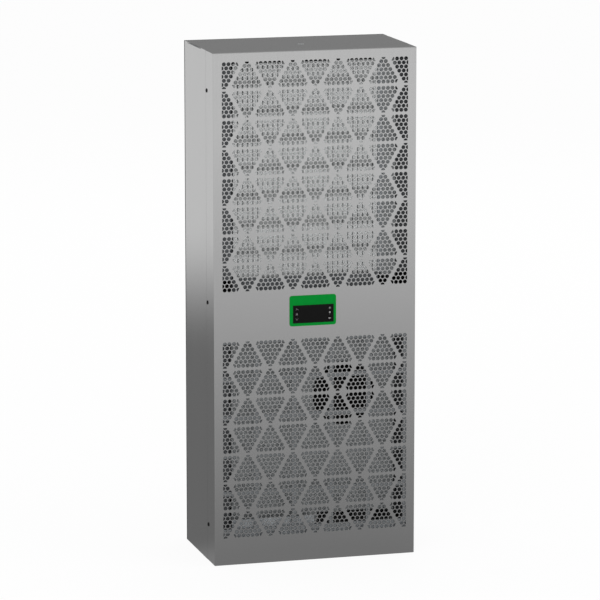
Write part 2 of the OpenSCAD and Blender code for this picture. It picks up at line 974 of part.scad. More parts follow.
module coil_plate(x, d_from, d_to, z_from, z_to, d0, z0, rows) {
    plate_x(x, end_plate_t)
        difference() {
            rect_between(d_from, d_to, z_from, z_to);
            coil_tube_circles(d0, z0, rows, tube_d);
        }
}

cond_plate_x = cond_w / 2 + fin_gap;
evap_plate_x = evap_w / 2 + fin_gap;
module condenser_fins() color(alu) coil_fins(cond_x, cond_w, cond_d, cond_z, cond_rows);
module condenser_tubes() color(copper) coil_tubes(cond_x, cond_w, cond_d, cond_z, cond_rows);

module condenser_plate_left() color(zinc)
    coil_plate(
        cond_x - cond_plate_x - end_plate_t, cond_d, partition_d, cond_z - plate_overlap,
        cond_z + cond_h + plate_overlap, cond_d, cond_z, cond_rows
    );

module condenser_plate_right() color(zinc)
    coil_plate(
        cond_x + cond_plate_x, cond_d, partition_d, cond_z - plate_overlap,
        cond_z + cond_h + plate_overlap, cond_d, cond_z, cond_rows
    );

// Folded cover in front of the right-hand return bends
module coil_side_cover() color(zinc) {
    x0 = cond_x + cond_plate_x + end_plate_t;
    x1 = x0 + side_cover_w;
    low = cond_z - plate_overlap;
    high = cond_z + cond_h + plate_overlap;
    plate_at(cond_d - side_cover_gap, end_plate_t)
        rect_between(x0, x1, low, high);
    box_between(x1 - end_plate_t, x1, cond_d - side_cover_gap, cond_d + coil_depth, low, high);
}

module evaporator_fins() color(alu) coil_fins(evap_x, evap_w, evap_d, evap_z, evap_rows);
module evaporator_tubes() color(copper) coil_tubes(evap_x, evap_w, evap_d, evap_z, evap_rows);

module evaporator_plate_left() color(zinc)
    coil_plate(
        evap_x - evap_plate_x - end_plate_t, partition_d + inner_t, back_d, evap_z - plate_overlap,
        evap_z + evap_h + plate_overlap, evap_d, evap_z, evap_rows
    );

module evaporator_plate_right() color(zinc)
    coil_plate(
        evap_x + evap_plate_x, partition_d + inner_t, back_d, evap_z - plate_overlap,
        evap_z + evap_h + plate_overlap, evap_d, evap_z, evap_rows
    );

// Compressor
module can_profile(r, h, dome) {
    dome_r = (r * r + dome * dome) / (2 * dome);
    translate([0, dome])
        square([r, h - 2 * dome]);
    for (end = [0, 1])
        translate([0, end * h])
            mirror([0, end])
                intersection() {
                    translate([0, dome_r])
                        circle(r = dome_r);
                    square([r, dome]);
                }
}

module at_compressor() {
    translate([comp_x, face_y + comp_d, 0])
        children();
}

module foot_places() {
    for (a = [0, 120, 240])
        translate([comp_bolt_r * cos(a), comp_bolt_r * sin(a), 0])
            children();
}

module compressor_body() color(black)
    at_compressor()
        translate([0, 0, comp_z]) {
            rotate_extrude()
                can_profile(comp_r, comp_h, comp_dome);
            translate([0, 0, comp_h * comp_seam_share])
                cylinder(r = comp_r + comp_seam_w, h = comp_seam_h);
            translate([0, 0, comp_h - comp_dome])
                cylinder(d = pipe_d, h = comp_dome + stub_h);
        }

module compressor_base() color(black)
    at_compressor()
        translate([0, 0, foot_z])
            difference() {
                union() {
                    cylinder(r = comp_base_r, h = foot_t);
                    cylinder(r = cradle_r, h = foot_t + cradle_h);
                    foot_places()
                        cylinder(r = foot_r, h = foot_t);
                }
                foot_places()
                    translate([0, 0, -over])
                        cylinder(d = grommet_neck_d, h = foot_t + 2 * over);
                translate([0, 0, foot_t])
                    rotate_extrude()
                        can_profile(comp_r, comp_h, comp_dome);
            }

module compressor_grommets() color([0.1, 0.1, 0.1])
    at_compressor()
        foot_places()
            translate([0, 0, tray_z + tray_t])
                difference() {
                    union() {
                        cylinder(d = grommet_d, h = grommet_h);
                        cylinder(d = grommet_neck_d, h = grommet_h + foot_t + grommet_top);
                    }
                    translate([0, 0, -over])
                        cylinder(d = bolt_d + 2 * screw_play, h = grommet_h + foot_t + grommet_top + 2 * over);
                }

module compressor_bolts() color(zinc)
    at_compressor()
        foot_places()
            translate([0, 0, tray_z]) {
                cylinder(d = bolt_d, h = tray_t + grommet_h + foot_t + grommet_top);
                translate([0, 0, tray_t + grommet_h + foot_t + grommet_top])
                    cylinder(d = bolt_head_d, h = bolt_head_t, $fn = 6);
            }

module compressor_terminal_cover() color([0.15, 0.15, 0.15])
    at_compressor()
        translate([comp_r - terminal_sink, -terminal_w / 2, comp_z + comp_h * terminal_share])
            difference() {
                cube([terminal_t, terminal_w, terminal_h]);
                translate([terminal_sink - comp_r, terminal_w / 2, -over])
                    cylinder(r = comp_r, h = terminal_h + 2 * over);
            }

// Accumulator with its strap and its outlet pipe, both cut round to the compressor's shell
module suction_accumulator() color(black)
    difference() {
        union() {
            translate([acc_x, face_y + comp_d, acc_z]) {
                rotate_extrude()
                    can_profile(acc_r, acc_h, acc_dome);
                translate([0, -acc_strap_w / 2, acc_h / 2])
                    cube([comp_x - acc_x, acc_strap_w, acc_strap_w]);
            }
            pipe([
                [acc_x, comp_d, acc_z + acc_dome],
                [acc_x, comp_d, acc_z - acc_drop],
                [comp_x - comp_r + pipe_d / 2, comp_d, acc_z - acc_drop]
            ], pipe_d, bend_r);
        }
        at_compressor()
            translate([0, 0, comp_z])
                cylinder(r = comp_r, h = comp_h);
    }

// Pipes: straight runs joined by quarter bends; the points follow the axes one at a time
function unit(v) = v / norm(v);
function run_start(p, i, r) = i == 0 ? p[0] : p[i] + r * unit(p[i + 1] - p[i]);
function run_end(p, i, r) = i == len(p) - 2 ? p[i + 1] : p[i + 1] - r * unit(p[i + 1] - p[i]);

module straight_pipe(a, b, dia) {
    v = b - a;
    translate([a[0], face_y + a[1], a[2]])
        rotate([0, acos(v[2] / norm(v)), atan2(v[1], v[0])])
            cylinder(d = dia, h = norm(v));
}

module quarter_bend(corner, before, after, dia, r) {
    centre = corner + r * (after - before);
    z_axis = cross(before, after);
    multmatrix([
        [-after[0], before[0], z_axis[0], centre[0]],
        [-after[1], before[1], z_axis[1], centre[1] + face_y],
        [-after[2], before[2], z_axis[2], centre[2]],
        [0, 0, 0, 1]
    ])
        rotate_extrude(angle = 90)
            translate([r, 0])
                circle(d = dia, $fn = 32);
}

module pipe(points, dia, r) {
    for (i = [0 : len(points) - 2])
        straight_pipe(run_start(points, i, r), run_end(points, i, r), dia);
    for (i = [1 : len(points) - 2])
        quarter_bend(
            points[i], unit(points[i] - points[i - 1]), unit(points[i + 1] - points[i]), dia, r
        );
}

cond_end_x = cond_x - cond_w / 2 - fin_gap - end_plate_t - bell_len;
evap_end_x = evap_x - evap_w / 2 - fin_gap - end_plate_t - bell_len;

module discharge_pipe() color(copper)
    pipe([
        [comp_x, comp_d, comp_z + comp_h + stub_h],
        [comp_x, comp_d, pipe_run_z],
        [comp_x, coil_tube_d(cond_d, 0), pipe_run_z],
        [discharge_x, coil_tube_d(cond_d, 0), pipe_run_z],
        [discharge_x, coil_tube_d(cond_d, 0), coil_tube_z(cond_z, 0, 0)],
        [cond_end_x, coil_tube_d(cond_d, 0), coil_tube_z(cond_z, 0, 0)]
    ], pipe_d, bend_r);

module liquid_pipe() color(copper)
    pipe([
        [cond_end_x, coil_tube_d(cond_d, 1), coil_tube_z(cond_z, 0, 1)],
        [liquid_x, coil_tube_d(cond_d, 1), coil_tube_z(cond_z, 0, 1)],
        [liquid_x, coil_tube_d(cond_d, 1), drier_top_z]
    ], liquid_d, bend_r);

module filter_drier() color(copper)
    translate([liquid_x, face_y + coil_tube_d(cond_d, 1), drier_top_z - drier_len])
        rotate_extrude()
            can_profile(drier_r, drier_len, drier_dome);

module capillary_pipe() color(copper)
    pipe([
        [liquid_x, coil_tube_d(cond_d, 1), drier_top_z - drier_len],
        [liquid_x, coil_tube_d(cond_d, 1), capillary_low_z],
        [liquid_x, coil_tube_d(evap_d, 0), capillary_low_z],
        [liquid_x, coil_tube_d(evap_d, 0), coil_tube_z(evap_z, 0, 0)],
        [evap_end_x, coil_tube_d(evap_d, 0), coil_tube_z(evap_z, 0, 0)]
    ], capillary_d, capillary_bend_r);

module suction_pipe() color(copper)
    pipe([
        [evap_end_x, coil_tube_d(evap_d, 1), coil_tube_z(evap_z, 0, 1)],
        [suction_x, coil_tube_d(evap_d, 1), coil_tube_z(evap_z, 0, 1)],
        [suction_x, suction_d, coil_tube_z(evap_z, 0, 1)],
        [acc_x, suction_d, coil_tube_z(evap_z, 0, 1)],
        [acc_x, suction_d, acc_z + acc_h + 3 * bend_r],
        [acc_x, comp_d, acc_z + acc_h + 3 * bend_r],
        [acc_x, comp_d, acc_z + acc_h]
    ], pipe_d, bend_r);

// Condensate
module condensate_tray() color([0.75, 0.76, 0.77]) {
    d0 = partition_d + inner_t;
    difference() {
        box_between(-evap_plate_x, evap_plate_x, d0, back_d, cond_tray_z, cond_tray_z + cond_tray_h);
        box_between(
            cond_tray_t - evap_plate_x, evap_plate_x - cond_tray_t, d0 + cond_tray_t, back_d - cond_tray_t,
            cond_tray_z + cond_tray_t, cond_tray_z + cond_tray_h + over
        );
        translate([spout_x, face_y + (d0 + back_d) / 2, cond_tray_z - over])
            cylinder(d = drain_bore, h = cond_tray_t + 2 * over);
    }
}

module drain_spout() color([0.2, 0.2, 0.2])
    translate([spout_x, face_y + (partition_d + inner_t + back_d) / 2, 0])
        difference() {
            union() {
                cylinder(d = drain_bore + 2 * spout_wall, h = cond_tray_z);
                translate([0, 0, housing_t])
                    cylinder(d = drain_bore + 2 * (spout_wall + spout_flange_w), h = spout_flange_t);
            }
            translate([0, 0, -over])
                cylinder(d = drain_bore, h = cond_tray_z + 2 * over);
        }

// Electrical compartment between the coil and the fan chamber
module electrical_box() color(zinc)
    difference() {
        box_between(box_x0, box_x1, box_d0, partition_d, box_z0, box_z1);
        box_between(
            box_x0 + box_t, box_x1 - box_t, box_d0 - over, partition_d - box_t, box_z0 + box_t,
            box_z1 - box_t
        );
    }

module relay_board() color([0.1, 0.35, 0.2]) {
    d0 = partition_d - box_t - board_gap - board_t;
    x0 = box_x0 + 2 * board_gap;
    x1 = x0 + board_w;
    box_between(x0, x1, d0, d0 + board_t, box_z0 + board_gap, box_z1 - board_gap);
    for (x = [x0 + board_gap, x1 - board_gap], z = [box_z0 + 2 * board_gap, box_z1 - 2 * board_gap])
        rod_y(x, z, d0 + board_t, board_gap, standoff_d);
    for (i = [0 : relay_count - 1])
        translate([x0 + relay_edge + i * relay_pitch, face_y + d0 - relay_size[1], 0])
            translate([0, 0, box_z1 - relay_drop - relay_size[2]])
                cube(relay_size);
    translate([x0 + relay_edge, face_y + d0 - transformer_size[1], box_z0 + transformer_rise])
        cube(transformer_size);
}

module run_capacitor() color([0.8, 0.8, 0.82])
    translate([box_x1 - box_t - capacitor_d / 2, face_y + partition_d - box_t - capacitor_d / 2, box_z0 + box_t])
        cylinder(d = capacitor_d, h = capacitor_len);

module power_socket() color(black)
    difference() {
        union() {
            plate_at(back_d + housing_t - socket_len, socket_len)
                translate([socket_x, socket_z])
                    square([socket_w, socket_h], center = true);
            plate_at(back_d + housing_t, socket_flange_t)
                translate([socket_x, socket_z])
                    round_rect(socket_w + 2 * socket_flange, socket_h + 2 * socket_flange, socket_flange);
        }
        plate_at(socket_floor_d, socket_depth + over)
            translate([socket_x, socket_z])
                square([socket_w - 2 * socket_wall, socket_h - 2 * socket_wall], center = true);
    }

module power_pins() color(zinc)
    plate_at(socket_floor_d, pin_size[1])
        for (i = [0 : pin_count - 1])
            translate([socket_x + (i - (pin_count - 1) / 2) * pin_pitch, socket_z])
                square([pin_size[0], pin_size[2]], center = true);

front_panel();
cover_frame();
cover_screws();
rear_housing();
back_plate();
rear_gasket();
lifting_insert();
rear_inserts();
partition_plate();
base_tray();
display_bezel();
display_window();
key_up();
key_down();
key_defrost();
key_light();
key_power();
key_set();
controller_case();
filter_grid();
fan_panel();
fan_box_left();
fan_box_right();
condenser_fan_frame();
condenser_fan_stator();
condenser_fan_rotor();
condenser_fan_screws();
condenser_fins();
condenser_tubes();
condenser_plate_left();
condenser_plate_right();
coil_side_cover();
compressor_body();
compressor_base();
compressor_grommets();
compressor_bolts();
compressor_terminal_cover();
suction_accumulator();
discharge_pipe();
liquid_pipe();
filter_drier();
capillary_pipe();
suction_pipe();
evaporator_fins();
evaporator_tubes();
evaporator_plate_left();
evaporator_plate_right();
evaporator_fan_frame();
evaporator_fan_stator();
evaporator_fan_rotor();
evaporator_fan_screws();
condensate_tray();
drain_spout();
electrical_box();
relay_board();
run_capacitor();
power_socket();
power_pins();
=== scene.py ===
"""Looks of a wall-mounted cooling unit for an electrical enclosure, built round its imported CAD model.

Every piece is in metres, in the frame of the CAD model: +Z is up, the punched face looks towards -Y and the
enclosure is on the +Y side. Sizes in the classes are in millimetres.
"""

import json
import logging
import math
from collections.abc import Sequence
from dataclasses import dataclass, field
from enum import Enum

import bmesh
import bpy
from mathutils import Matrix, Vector
from mathutils.geometry import delaunay_2d_cdt

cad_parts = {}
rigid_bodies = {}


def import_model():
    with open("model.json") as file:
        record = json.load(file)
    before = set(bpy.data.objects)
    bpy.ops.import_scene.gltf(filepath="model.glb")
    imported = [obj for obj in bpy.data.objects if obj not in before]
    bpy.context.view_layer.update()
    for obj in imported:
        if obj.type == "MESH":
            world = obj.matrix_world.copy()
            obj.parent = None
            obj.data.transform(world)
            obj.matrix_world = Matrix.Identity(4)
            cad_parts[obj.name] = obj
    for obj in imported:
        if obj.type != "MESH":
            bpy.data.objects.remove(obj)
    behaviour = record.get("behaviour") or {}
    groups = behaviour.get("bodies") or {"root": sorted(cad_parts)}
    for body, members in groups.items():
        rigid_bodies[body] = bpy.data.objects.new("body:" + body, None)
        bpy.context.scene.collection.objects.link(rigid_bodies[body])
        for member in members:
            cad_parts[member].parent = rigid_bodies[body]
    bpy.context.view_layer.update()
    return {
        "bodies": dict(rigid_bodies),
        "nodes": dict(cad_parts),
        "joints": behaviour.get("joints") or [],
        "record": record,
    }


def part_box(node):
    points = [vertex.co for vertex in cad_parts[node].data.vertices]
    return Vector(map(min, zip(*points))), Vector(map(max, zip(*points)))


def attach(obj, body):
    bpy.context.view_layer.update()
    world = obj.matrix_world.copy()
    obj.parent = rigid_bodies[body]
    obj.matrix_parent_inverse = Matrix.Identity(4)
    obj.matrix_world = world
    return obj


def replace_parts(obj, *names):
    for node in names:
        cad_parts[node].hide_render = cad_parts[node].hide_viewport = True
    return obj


MM = 0.001
CASING = "casing"
LOG = logging.getLogger("cooling_unit")

MATH = "ShaderNodeMath"
MAP_RANGE = "ShaderNodeMapRange"
NOISE_BAND = {"From Min": 0.3, "From Max": 0.7}
WELD = 0.001  # Points closer than this, in millimetres, are one

Point = tuple[float, float, float]
Flat = tuple[float, float]
Ring = Sequence[Point]
Socket = bpy.types.NodeSocket


def linear(hex_colour: str) -> tuple[float, float, float, float]:
    """Turn an sRGB hex colour into the linear colour that a shader takes.

    Args:
        hex_colour: Six hex digits, with or without a leading hash.

    Returns:
        Linear red, green, blue and an alpha of one.
    """
    digits = hex_colour.lstrip("#")
    parts = [int(digits[i:i + 2], 16) / 255 for i in (0, 2, 4)]
    red, green, blue = (c / 12.92 if c <= 0.04045 else ((c + 0.055) / 1.055) ** 2.4 for c in parts)
    return red, green, blue, 1.0


def add_node(tree: bpy.types.NodeTree, kind: str, inputs: dict | None = None, output: int | str = 0,
             **settings: object) -> Socket | None:
    """Add one node with its settings and its links.

    Args:
        tree: The tree that the node goes into.
        kind: The node's type name.
        inputs: For each socket's name or number, a value, a socket to link from, or a list of such sockets.
        output: Name or number of the output that is wanted.
        **settings: Properties of the node itself.

    Returns:
        That output, or nothing where the node ends its tree.
    """
    node = tree.nodes.new(kind)
    for name, value in settings.items():
        setattr(node, name, value)
    for key, value in (inputs or {}).items():
        for source in value if isinstance(value, list) and isinstance(value[0], Socket) else [value]:
            if isinstance(source, Socket):
                tree.links.new(source, node.inputs[key])
            else:
                node.inputs[key].default_value = source
    return node.outputs[output] if node.outputs else None


@dataclass(frozen=True)
class Finish:
    """A surface: its colour, its gloss, and a pattern with sizes in millimetres."""

    name: str
    colour: str
    roughness: float
    metallic: float = 0.0
    ior: float = 1.5

    def make(self) -> bpy.types.Material:
        """Build the material, or give the one that was built before under this name.

        Returns:
            The material.
        """
        known = bpy.data.materials.get(self.name)
        if known:
            return known
        material = bpy.data.materials.new(self.name)
        material.use_nodes = True
        tree = material.node_tree
        shader = tree.nodes["Principled BSDF"]
        plain = {
            "Base Color": linear(self.colour), "Roughness": self.roughness, "Metallic": self.metallic,
            "IOR": self.ior,
        }
        for key, value in plain.items():
            shader.inputs[key].default_value = value
        for key, source in self.pattern(tree).items():
            tree.links.new(source, shader.inputs[key])
        return material

    def pattern(self, tree: bpy.types.NodeTree) -> dict[str, Socket]:
        """Give the sockets that drive the shader, by its inputs' names; each kind of finish has its own."""
        return {}

    def place(self, tree: bpy.types.NodeTree, sizes: Point) -> Socket:
        """Give Object coordinates that count in units of a pattern.

        Args:
            tree: The material's tree.
            sizes: The unit's sizes along X, Y and Z in millimetres.

        Returns:
            The coordinates.
        """
        where = add_node(tree, "ShaderNodeTexCoord", output="Object")
        scale = [1 / (MM * size) for size in sizes]
        return add_node(tree, "ShaderNodeMapping", {"Vector": where, "Scale": scale})

    def noise(self, tree: bpy.types.NodeTree, sizes: Point, detail: float = 2.0) -> Socket:
        """Give a placed noise.

        Args:
            tree: The material's tree.
            sizes: The sizes of its blotches along X, Y and Z in millimetres.
            detail: How many finer layers it has.

        Returns:
            The noise, about 0.3 to 0.7.
        """
        inputs = {"Vector": self.place(tree, sizes), "Scale": 1.0, "Detail": detail}
        return add_node(tree, "ShaderNodeTexNoise", inputs)


@dataclass(frozen=True)
class BrushedSteel(Finish):
    """Stainless sheet, ground with a fine belt along its length.

    It mirrors the room softly, so its tone follows the room and not a colour of its own, and the belt leaves
    long faint lines. Real lines are 0.1 mm wide; they are drawn 1 mm wide, or none would show.
    """

    lines: Point = (1.0, 1.0, 160.0)
    line_depth: float = 0.002
    line_gloss: float = 0.02
    handling: Point = (60.0, 60.0, 90.0)
    handling_gloss: float = 0.012

    def pattern(self, tree: bpy.types.NodeTree) -> dict[str, Socket]:
        """Add the belt's lines to the gloss and the relief, and broad soft blotches from handling.

        Args:
            tree: The material's tree.

        Returns:
            What drives the shader.
        """
        lines = self.noise(tree, self.lines, 3)
        rough = add_node(tree, MAP_RANGE, {
            "Value": lines, **NOISE_BAND,
            "To Min": self.roughness - self.line_gloss, "To Max": self.roughness + self.line_gloss,
        })
        cloudy = add_node(tree, MAP_RANGE, {
            "Value": self.noise(tree, self.handling), **NOISE_BAND,
            "To Min": -self.handling_gloss, "To Max": self.handling_gloss,
        })
        return {
            "Roughness": add_node(tree, MATH, {0: rough, 1: cloudy}, operation="ADD"),
            "Normal": add_node(tree, "ShaderNodeBump", {"Height": lines, "Distance": self.line_depth * MM}),
        }


@dataclass(frozen=True)
class GalvanisedSteel(Finish):
    """Hot-dip galvanised sheet: zinc crystals, the spangle, that differ slightly in tone and gloss."""

    other: str = "#8F9497"
    spangle: float = 9.0
    gloss: float = 0.04
    ripple: Point = (2.0, 2.0, 2.0)
    ripple_depth: float = 0.01

    def pattern(self, tree: bpy.types.NodeTree) -> dict[str, Socket]:
        """Give each crystal its own tone and gloss.

        Args:
            tree: The material's tree.

        Returns:
            What drives the shader.
        """
        spot = self.place(tree, (self.spangle,) * 3)
        cells = add_node(tree, "ShaderNodeTexVoronoi", {"Vector": spot, "Scale": 1.0}, "Color")
        parts = add_node(tree, "ShaderNodeSeparateColor", {0: cells}).node.outputs
        return {
            "Base Color": add_node(tree, "ShaderNodeMix", {
                0: parts[0], "A": linear(self.colour), "B": linear(self.other),
            }, "Result", data_type="RGBA"),
            "Roughness": add_node(tree, MAP_RANGE, {
                "Value": parts[1],
                "To Min": self.roughness - self.gloss, "To Max": self.roughness + self.gloss,
            }),
            "Normal": add_node(tree, "ShaderNodeBump", {
                "Height": self.noise(tree, self.ripple), "Distance": self.ripple_depth * MM,
            }),
        }


@dataclass(frozen=True)
class ToolMarked(Finish):
    """A surface with a slightly clouded colour and faint marks of its tool in gloss and relief."""

    other: str = "#000000"
    marks: Point = (0.8, 6.0, 6.0)
    marks_depth: float = 0.006
    gloss: Flat = (-0.05, 0.07)
    cloud: float = 12.0
    cloud_share: float = 0.3
    cloud_detail: float = 3.0

    def pattern(self, tree: bpy.types.NodeTree) -> dict[str, Socket]:
        """Add clouding to the colour and tool marks to the gloss and the relief.

        Args:
            tree: The material's tree.

        Returns:
            What drives the shader.
        """
        clouds = self.noise(tree, (self.cloud,) * 3, self.cloud_detail)
        share = add_node(tree, MAP_RANGE, {
            "Value": clouds, **NOISE_BAND, "To Min": 0.0, "To Max": self.cloud_share,
        })
        marks = self.noise(tree, self.marks)
        return {
            "Base Color": add_node(tree, "ShaderNodeMix", {
                0: share, "A": linear(self.colour), "B": linear(self.other),
            }, "Result", data_type="RGBA"),
            "Roughness": add_node(tree, MAP_RANGE, {
                "Value": marks, **NOISE_BAND,
                "To Min": self.roughness + self.gloss[0], "To Max": self.roughness + self.gloss[1],
            }),
            "Normal": add_node(tree, "ShaderNodeBump", {"Height": marks, "Distance": self.marks_depth * MM}),
        }


@dataclass(frozen=True)
class PlainMetal(ToolMarked):
    """Drawn, rolled or plated metal, whose marks run the way that it was worked."""


@dataclass(frozen=True)
class ShadowBandedFoil(PlainMetal):
    """Fin foil that is darker in bands about every second tube row: painted shadow of the punched sheet's
    bands on the coil.
    """

    band_pitch: float = 49.95
    band_start: float = 508.4
    shadow_band_colour: str = "#A3A5A5"

    def pattern(self, tree: bpy.types.NodeTree) -> dict[str, Socket]:
        """Add the bands of painted shadow over the plain metal's clouds.

        Args:
            tree: The material's tree.

        Returns:
            What drives the shader.
        """
        drives = super().pattern(tree)
        where = add_node(tree, "ShaderNodeTexCoord", output="Object")
        height = add_node(tree, "ShaderNodeSeparateXYZ", {0: where}, 2)
        above = add_node(tree, MATH, {0: height, 1: self.band_start * MM}, operation="SUBTRACT")
        turn = add_node(tree, MATH, {0: above, 1: math.tau / (self.band_pitch * MM)}, operation="MULTIPLY")
        wave = add_node(tree, MATH, {0: turn}, operation="COSINE")
        band = add_node(tree, MAP_RANGE, {"Value": wave, "From Min": 0.35, "From Max": 0.9})
        drives["Base Color"] = add_node(tree, "ShaderNodeMix", {
            0: band, "A": drives["Base Color"], "B": linear(self.shadow_band_colour),
        }, "Result", data_type="RGBA")
        return drives


@dataclass(frozen=True)
class MouldedPlastic(ToolMarked):
    """Injection-moulded plastic: the fine spark-eroded grain of its tool, and slight flow clouds."""

    marks: Point = (0.7, 0.7, 0.7)
    marks_depth: float = 0.02
    gloss: Flat = (-0.05, 0.05)
    cloud: float = 18.0
    cloud_share: float = 0.25
    cloud_detail: float = 2.0


@dataclass(frozen=True)
class CellularRubber(Finish):
    """Closed-cell rubber foam: matt, with small open pores where the strip was cut."""

    pore: float = 1.1
    pore_colour: str = "#0C0C0D"
    pore_depth: float = 0.15

    def pattern(self, tree: bpy.types.NodeTree) -> dict[str, Socket]:
        """Add pores to the colour and the relief.

        Args:
            tree: The material's tree.

        Returns:
            What drives the shader.
        """
        spot = self.place(tree, (self.pore,) * 3)
        cells = add_node(tree, "ShaderNodeTexVoronoi", {"Vector": spot, "Scale": 1.0}, "Distance")
        deep = add_node(tree, MAP_RANGE, {
            "Value": cells, "From Min": 0.0, "From Max": 0.5, "To Min": 0.6, "To Max": 0.0,
        })
        return {
            "Base Color": add_node(tree, "ShaderNodeMix", {
                0: deep, "A": linear(self.colour), "B": linear(self.pore_colour),
            }, "Result", data_type="RGBA"),
            "Normal": add_node(tree, "ShaderNodeBump", {
                "Height": cells, "Distance": self.pore_depth * MM, "Strength": 0.6,
            }),
        }


@dataclass(frozen=True)
class PrintedFoil(Finish):
    """Polyester foil, printed on its back and embossed very finely on its face."""

    grain: float = 0.5
    grain_depth: float = 0.004
    gloss: float = 0.04
    ink_cloud: Point = (9.0, 9.0, 9.0)
    ink_swing: float = 0.04

    def pattern(self, tree: bpy.types.NodeTree) -> dict[str, Socket]:
        """Add the fine emboss and a slightly uneven ink.

        Args:
            tree: The material's tree.

        Returns:
            What drives the shader.
        """
        grain = self.noise(tree, (self.grain,) * 3, 1)
        value = add_node(tree, MAP_RANGE, {
            "Value": self.noise(tree, self.ink_cloud), **NOISE_BAND,
            "To Min": 1 - self.ink_swing, "To Max": 1 + self.ink_swing,
        })
        return {
            "Base Color": add_node(tree, "ShaderNodeHueSaturation", {
                "Value": value, "Color": linear(self.colour),
            }),
            "Roughness": add_node(tree, MAP_RANGE, {
                "Value": grain, **NOISE_BAND,
                "To Min": self.roughness - self.gloss, "To Max": self.roughness + self.gloss,
            }),
            "Normal": add_node(tree, "ShaderNodeBump", {"Height": grain, "Distance": self.grain_depth * MM}),
        }


# Colours are what the photograph shows, with the real material's gloss.
# Belt-ground stainless sheet: a soft mirror that takes the room's tone, with long faint lines
STEEL = BrushedSteel("brushed_stainless_steel", "#C9C9C9", 0.16, 1.0)
# Sheared wall of a punched hole: rough like a real sheared edge, and darker than the face as painted shade in
# the holes, so that the holes' edges stay soft
PUNCHED_EDGE = PlainMetal("punched_steel_edge", "#767677", 0.6, 0.3, other="#636364", marks=(0.4, 1.2, 0.4))
# Zinc-coated sheets: a calm grey in which single crystals just show; the grid strip is a darker grey, and so
# are the shields
SHEET_ZINC = GalvanisedSteel("galvanised_steel", "#A4A7A8", 0.45, 0.4, other="#999C9D")
GRID_ZINC = GalvanisedSteel("galvanised_grid_strip", "#787B7D", 0.5, 0.3, other="#707375", spangle=6.0)
# The shields' darker grey is painted shade of the space behind the punched face
SHADED_SHIELD_ZINC = GalvanisedSteel("zinc_painted_shade", "#7C7F82", 0.55, 0.35, other="#6F7275")
BASE_ZINC = GalvanisedSteel("skin_passed_zinc_sheet", "#A5A9AC", 0.5, 0.3, other="#9A9EA1")
# Rolled aluminium foil: pale and matt, with rolling marks along the fin
FIN = PlainMetal("aluminium_fin_foil", "#EDEFEF", 0.5, 0.1, other="#D2D5D6", marks=(0.6, 8.0, 30.0))
# The condenser's foil is darker in bands: painted shadow of the punched sheet's bands on the coil
FIN_WITH_PAINTED_SHADOW = ShadowBandedFoil("fin_foil_painted_shadow_bands", "#D7D9D9", 0.55, 0.05, other="#C5C8C8", marks=(0.6, 8.0, 30.0))
# Drawn tube: bright lines along the drawing; tin makes it grey and duller
TINNED = PlainMetal("tinned_copper_tube", "#8F9193", 0.45, 0.6, other="#6E7072", marks=(0.8, 0.8, 9.0))
COPPER = PlainMetal("drawn_copper_tube", "#C77B52", 0.28, 1.0, other="#7A4028", marks=(0.8, 0.8, 9.0))
# Electroplated zinc: bright where it is new, milky where it was handled
BRIGHT_ZINC = PlainMetal("bright_zinc_plating", "#C6CACC", 0.3, 1.0, other="#9A9FA3")
INSERT_ZINC = PlainMetal("zinc_plated_insert", "#B4B7B9", 0.5, 0.2, other="#A2A5A8", marks=(0.5, 0.5, 0.5))
# Narrow lap on the top sheet's edge: darker than the sheet's face, as painted shadow of the gap there
SHADOW_GAP_ZINC = PlainMetal("lap_edge_painted_shadow", "#77797B", 0.5, 0.3, other="#6C6E70")
# Oxidised steel: near black, with a dim oily shine
BLACK_SCREW = PlainMetal("black_oxide_steel", "#2B2B2C", 0.38, 0.9, other="#151516", marks=(0.5, 0.5, 0.5))
# Deep-drawn aluminium: bright, with rings round the can
CAN = PlainMetal("drawn_aluminium_can", "#CFD1D3", 0.3, 1.0, other="#B2B5B8", marks=(6.0, 6.0, 0.6))
# Painted casting and glass-filled moulding: deep matt blacks that swallow the light in the fan's opening
FAN_BODY = MouldedPlastic(
    "painted_die_cast_aluminium", "#0B0B0C", 0.7, ior=1.35, other="#121213", marks=(0.9, 0.9, 0.9)
)
FAN_ROTOR = MouldedPlastic("glass_filled_polyamide", "#080809", 0.65, ior=1.35, other="#0E0E0F")
# Varnished winding: dark copper with fine turns
WINDING = PlainMetal("enamelled_copper_winding", "#8E4A24", 0.35, 0.9, other="#4A2412", marks=(0.6, 0.6, 6.0))
# Stoved enamel: a glossy black with slight orange peel
ENAMEL = MouldedPlastic(
    "black_stove_enamel", "#121213", 0.3, other="#1C1C1D", marks=(2.2, 2.2, 2.2), marks_depth=0.03
)
# Moulded and foamed rubber: matt and dark
RUBBER = MouldedPlastic("moulded_rubber", "#1A1A1A", 0.75, other="#262626")
GASKET = CellularRubber("closed_cell_rubber", "#3C3D3F", 0.85)
# Printed foil and smoked acrylic: even colour under a thin clear skin that hardly mirrors
BEZEL = PrintedFoil("green_printed_foil", "#00812C", 0.5, ior=1.14)
WINDOW = PrintedFoil("smoked_acrylic", "#0F0F0F", 0.14, ior=1.2, grain=3.0)
KEY_PRINT = PrintedFoil("pale_key_print", "#909090", 0.6, ior=1.3, grain=0.3)
# Moulded silicone: the same black as the window, but matt
KEY_CAP = MouldedPlastic(
    "silicone_key", "#111111", 0.5, ior=1.2, other="#181818", marks=(0.4, 0.4, 0.4), marks_depth=0.008
)
# Moulded plastics and the coated board inside the case: dull, with a fine grain
CASE_PLASTIC = MouldedPlastic("black_moulded_case", "#1A1A1C", 0.5, other="#222224")
BOARD = MouldedPlastic("glass_epoxy_board", "#1E5A34", 0.35, other="#17452A", marks=(1.2, 1.2, 1.2))
SOCKET = MouldedPlastic("moulded_socket_plastic", "#161617", 0.42, other="#1F1F20")


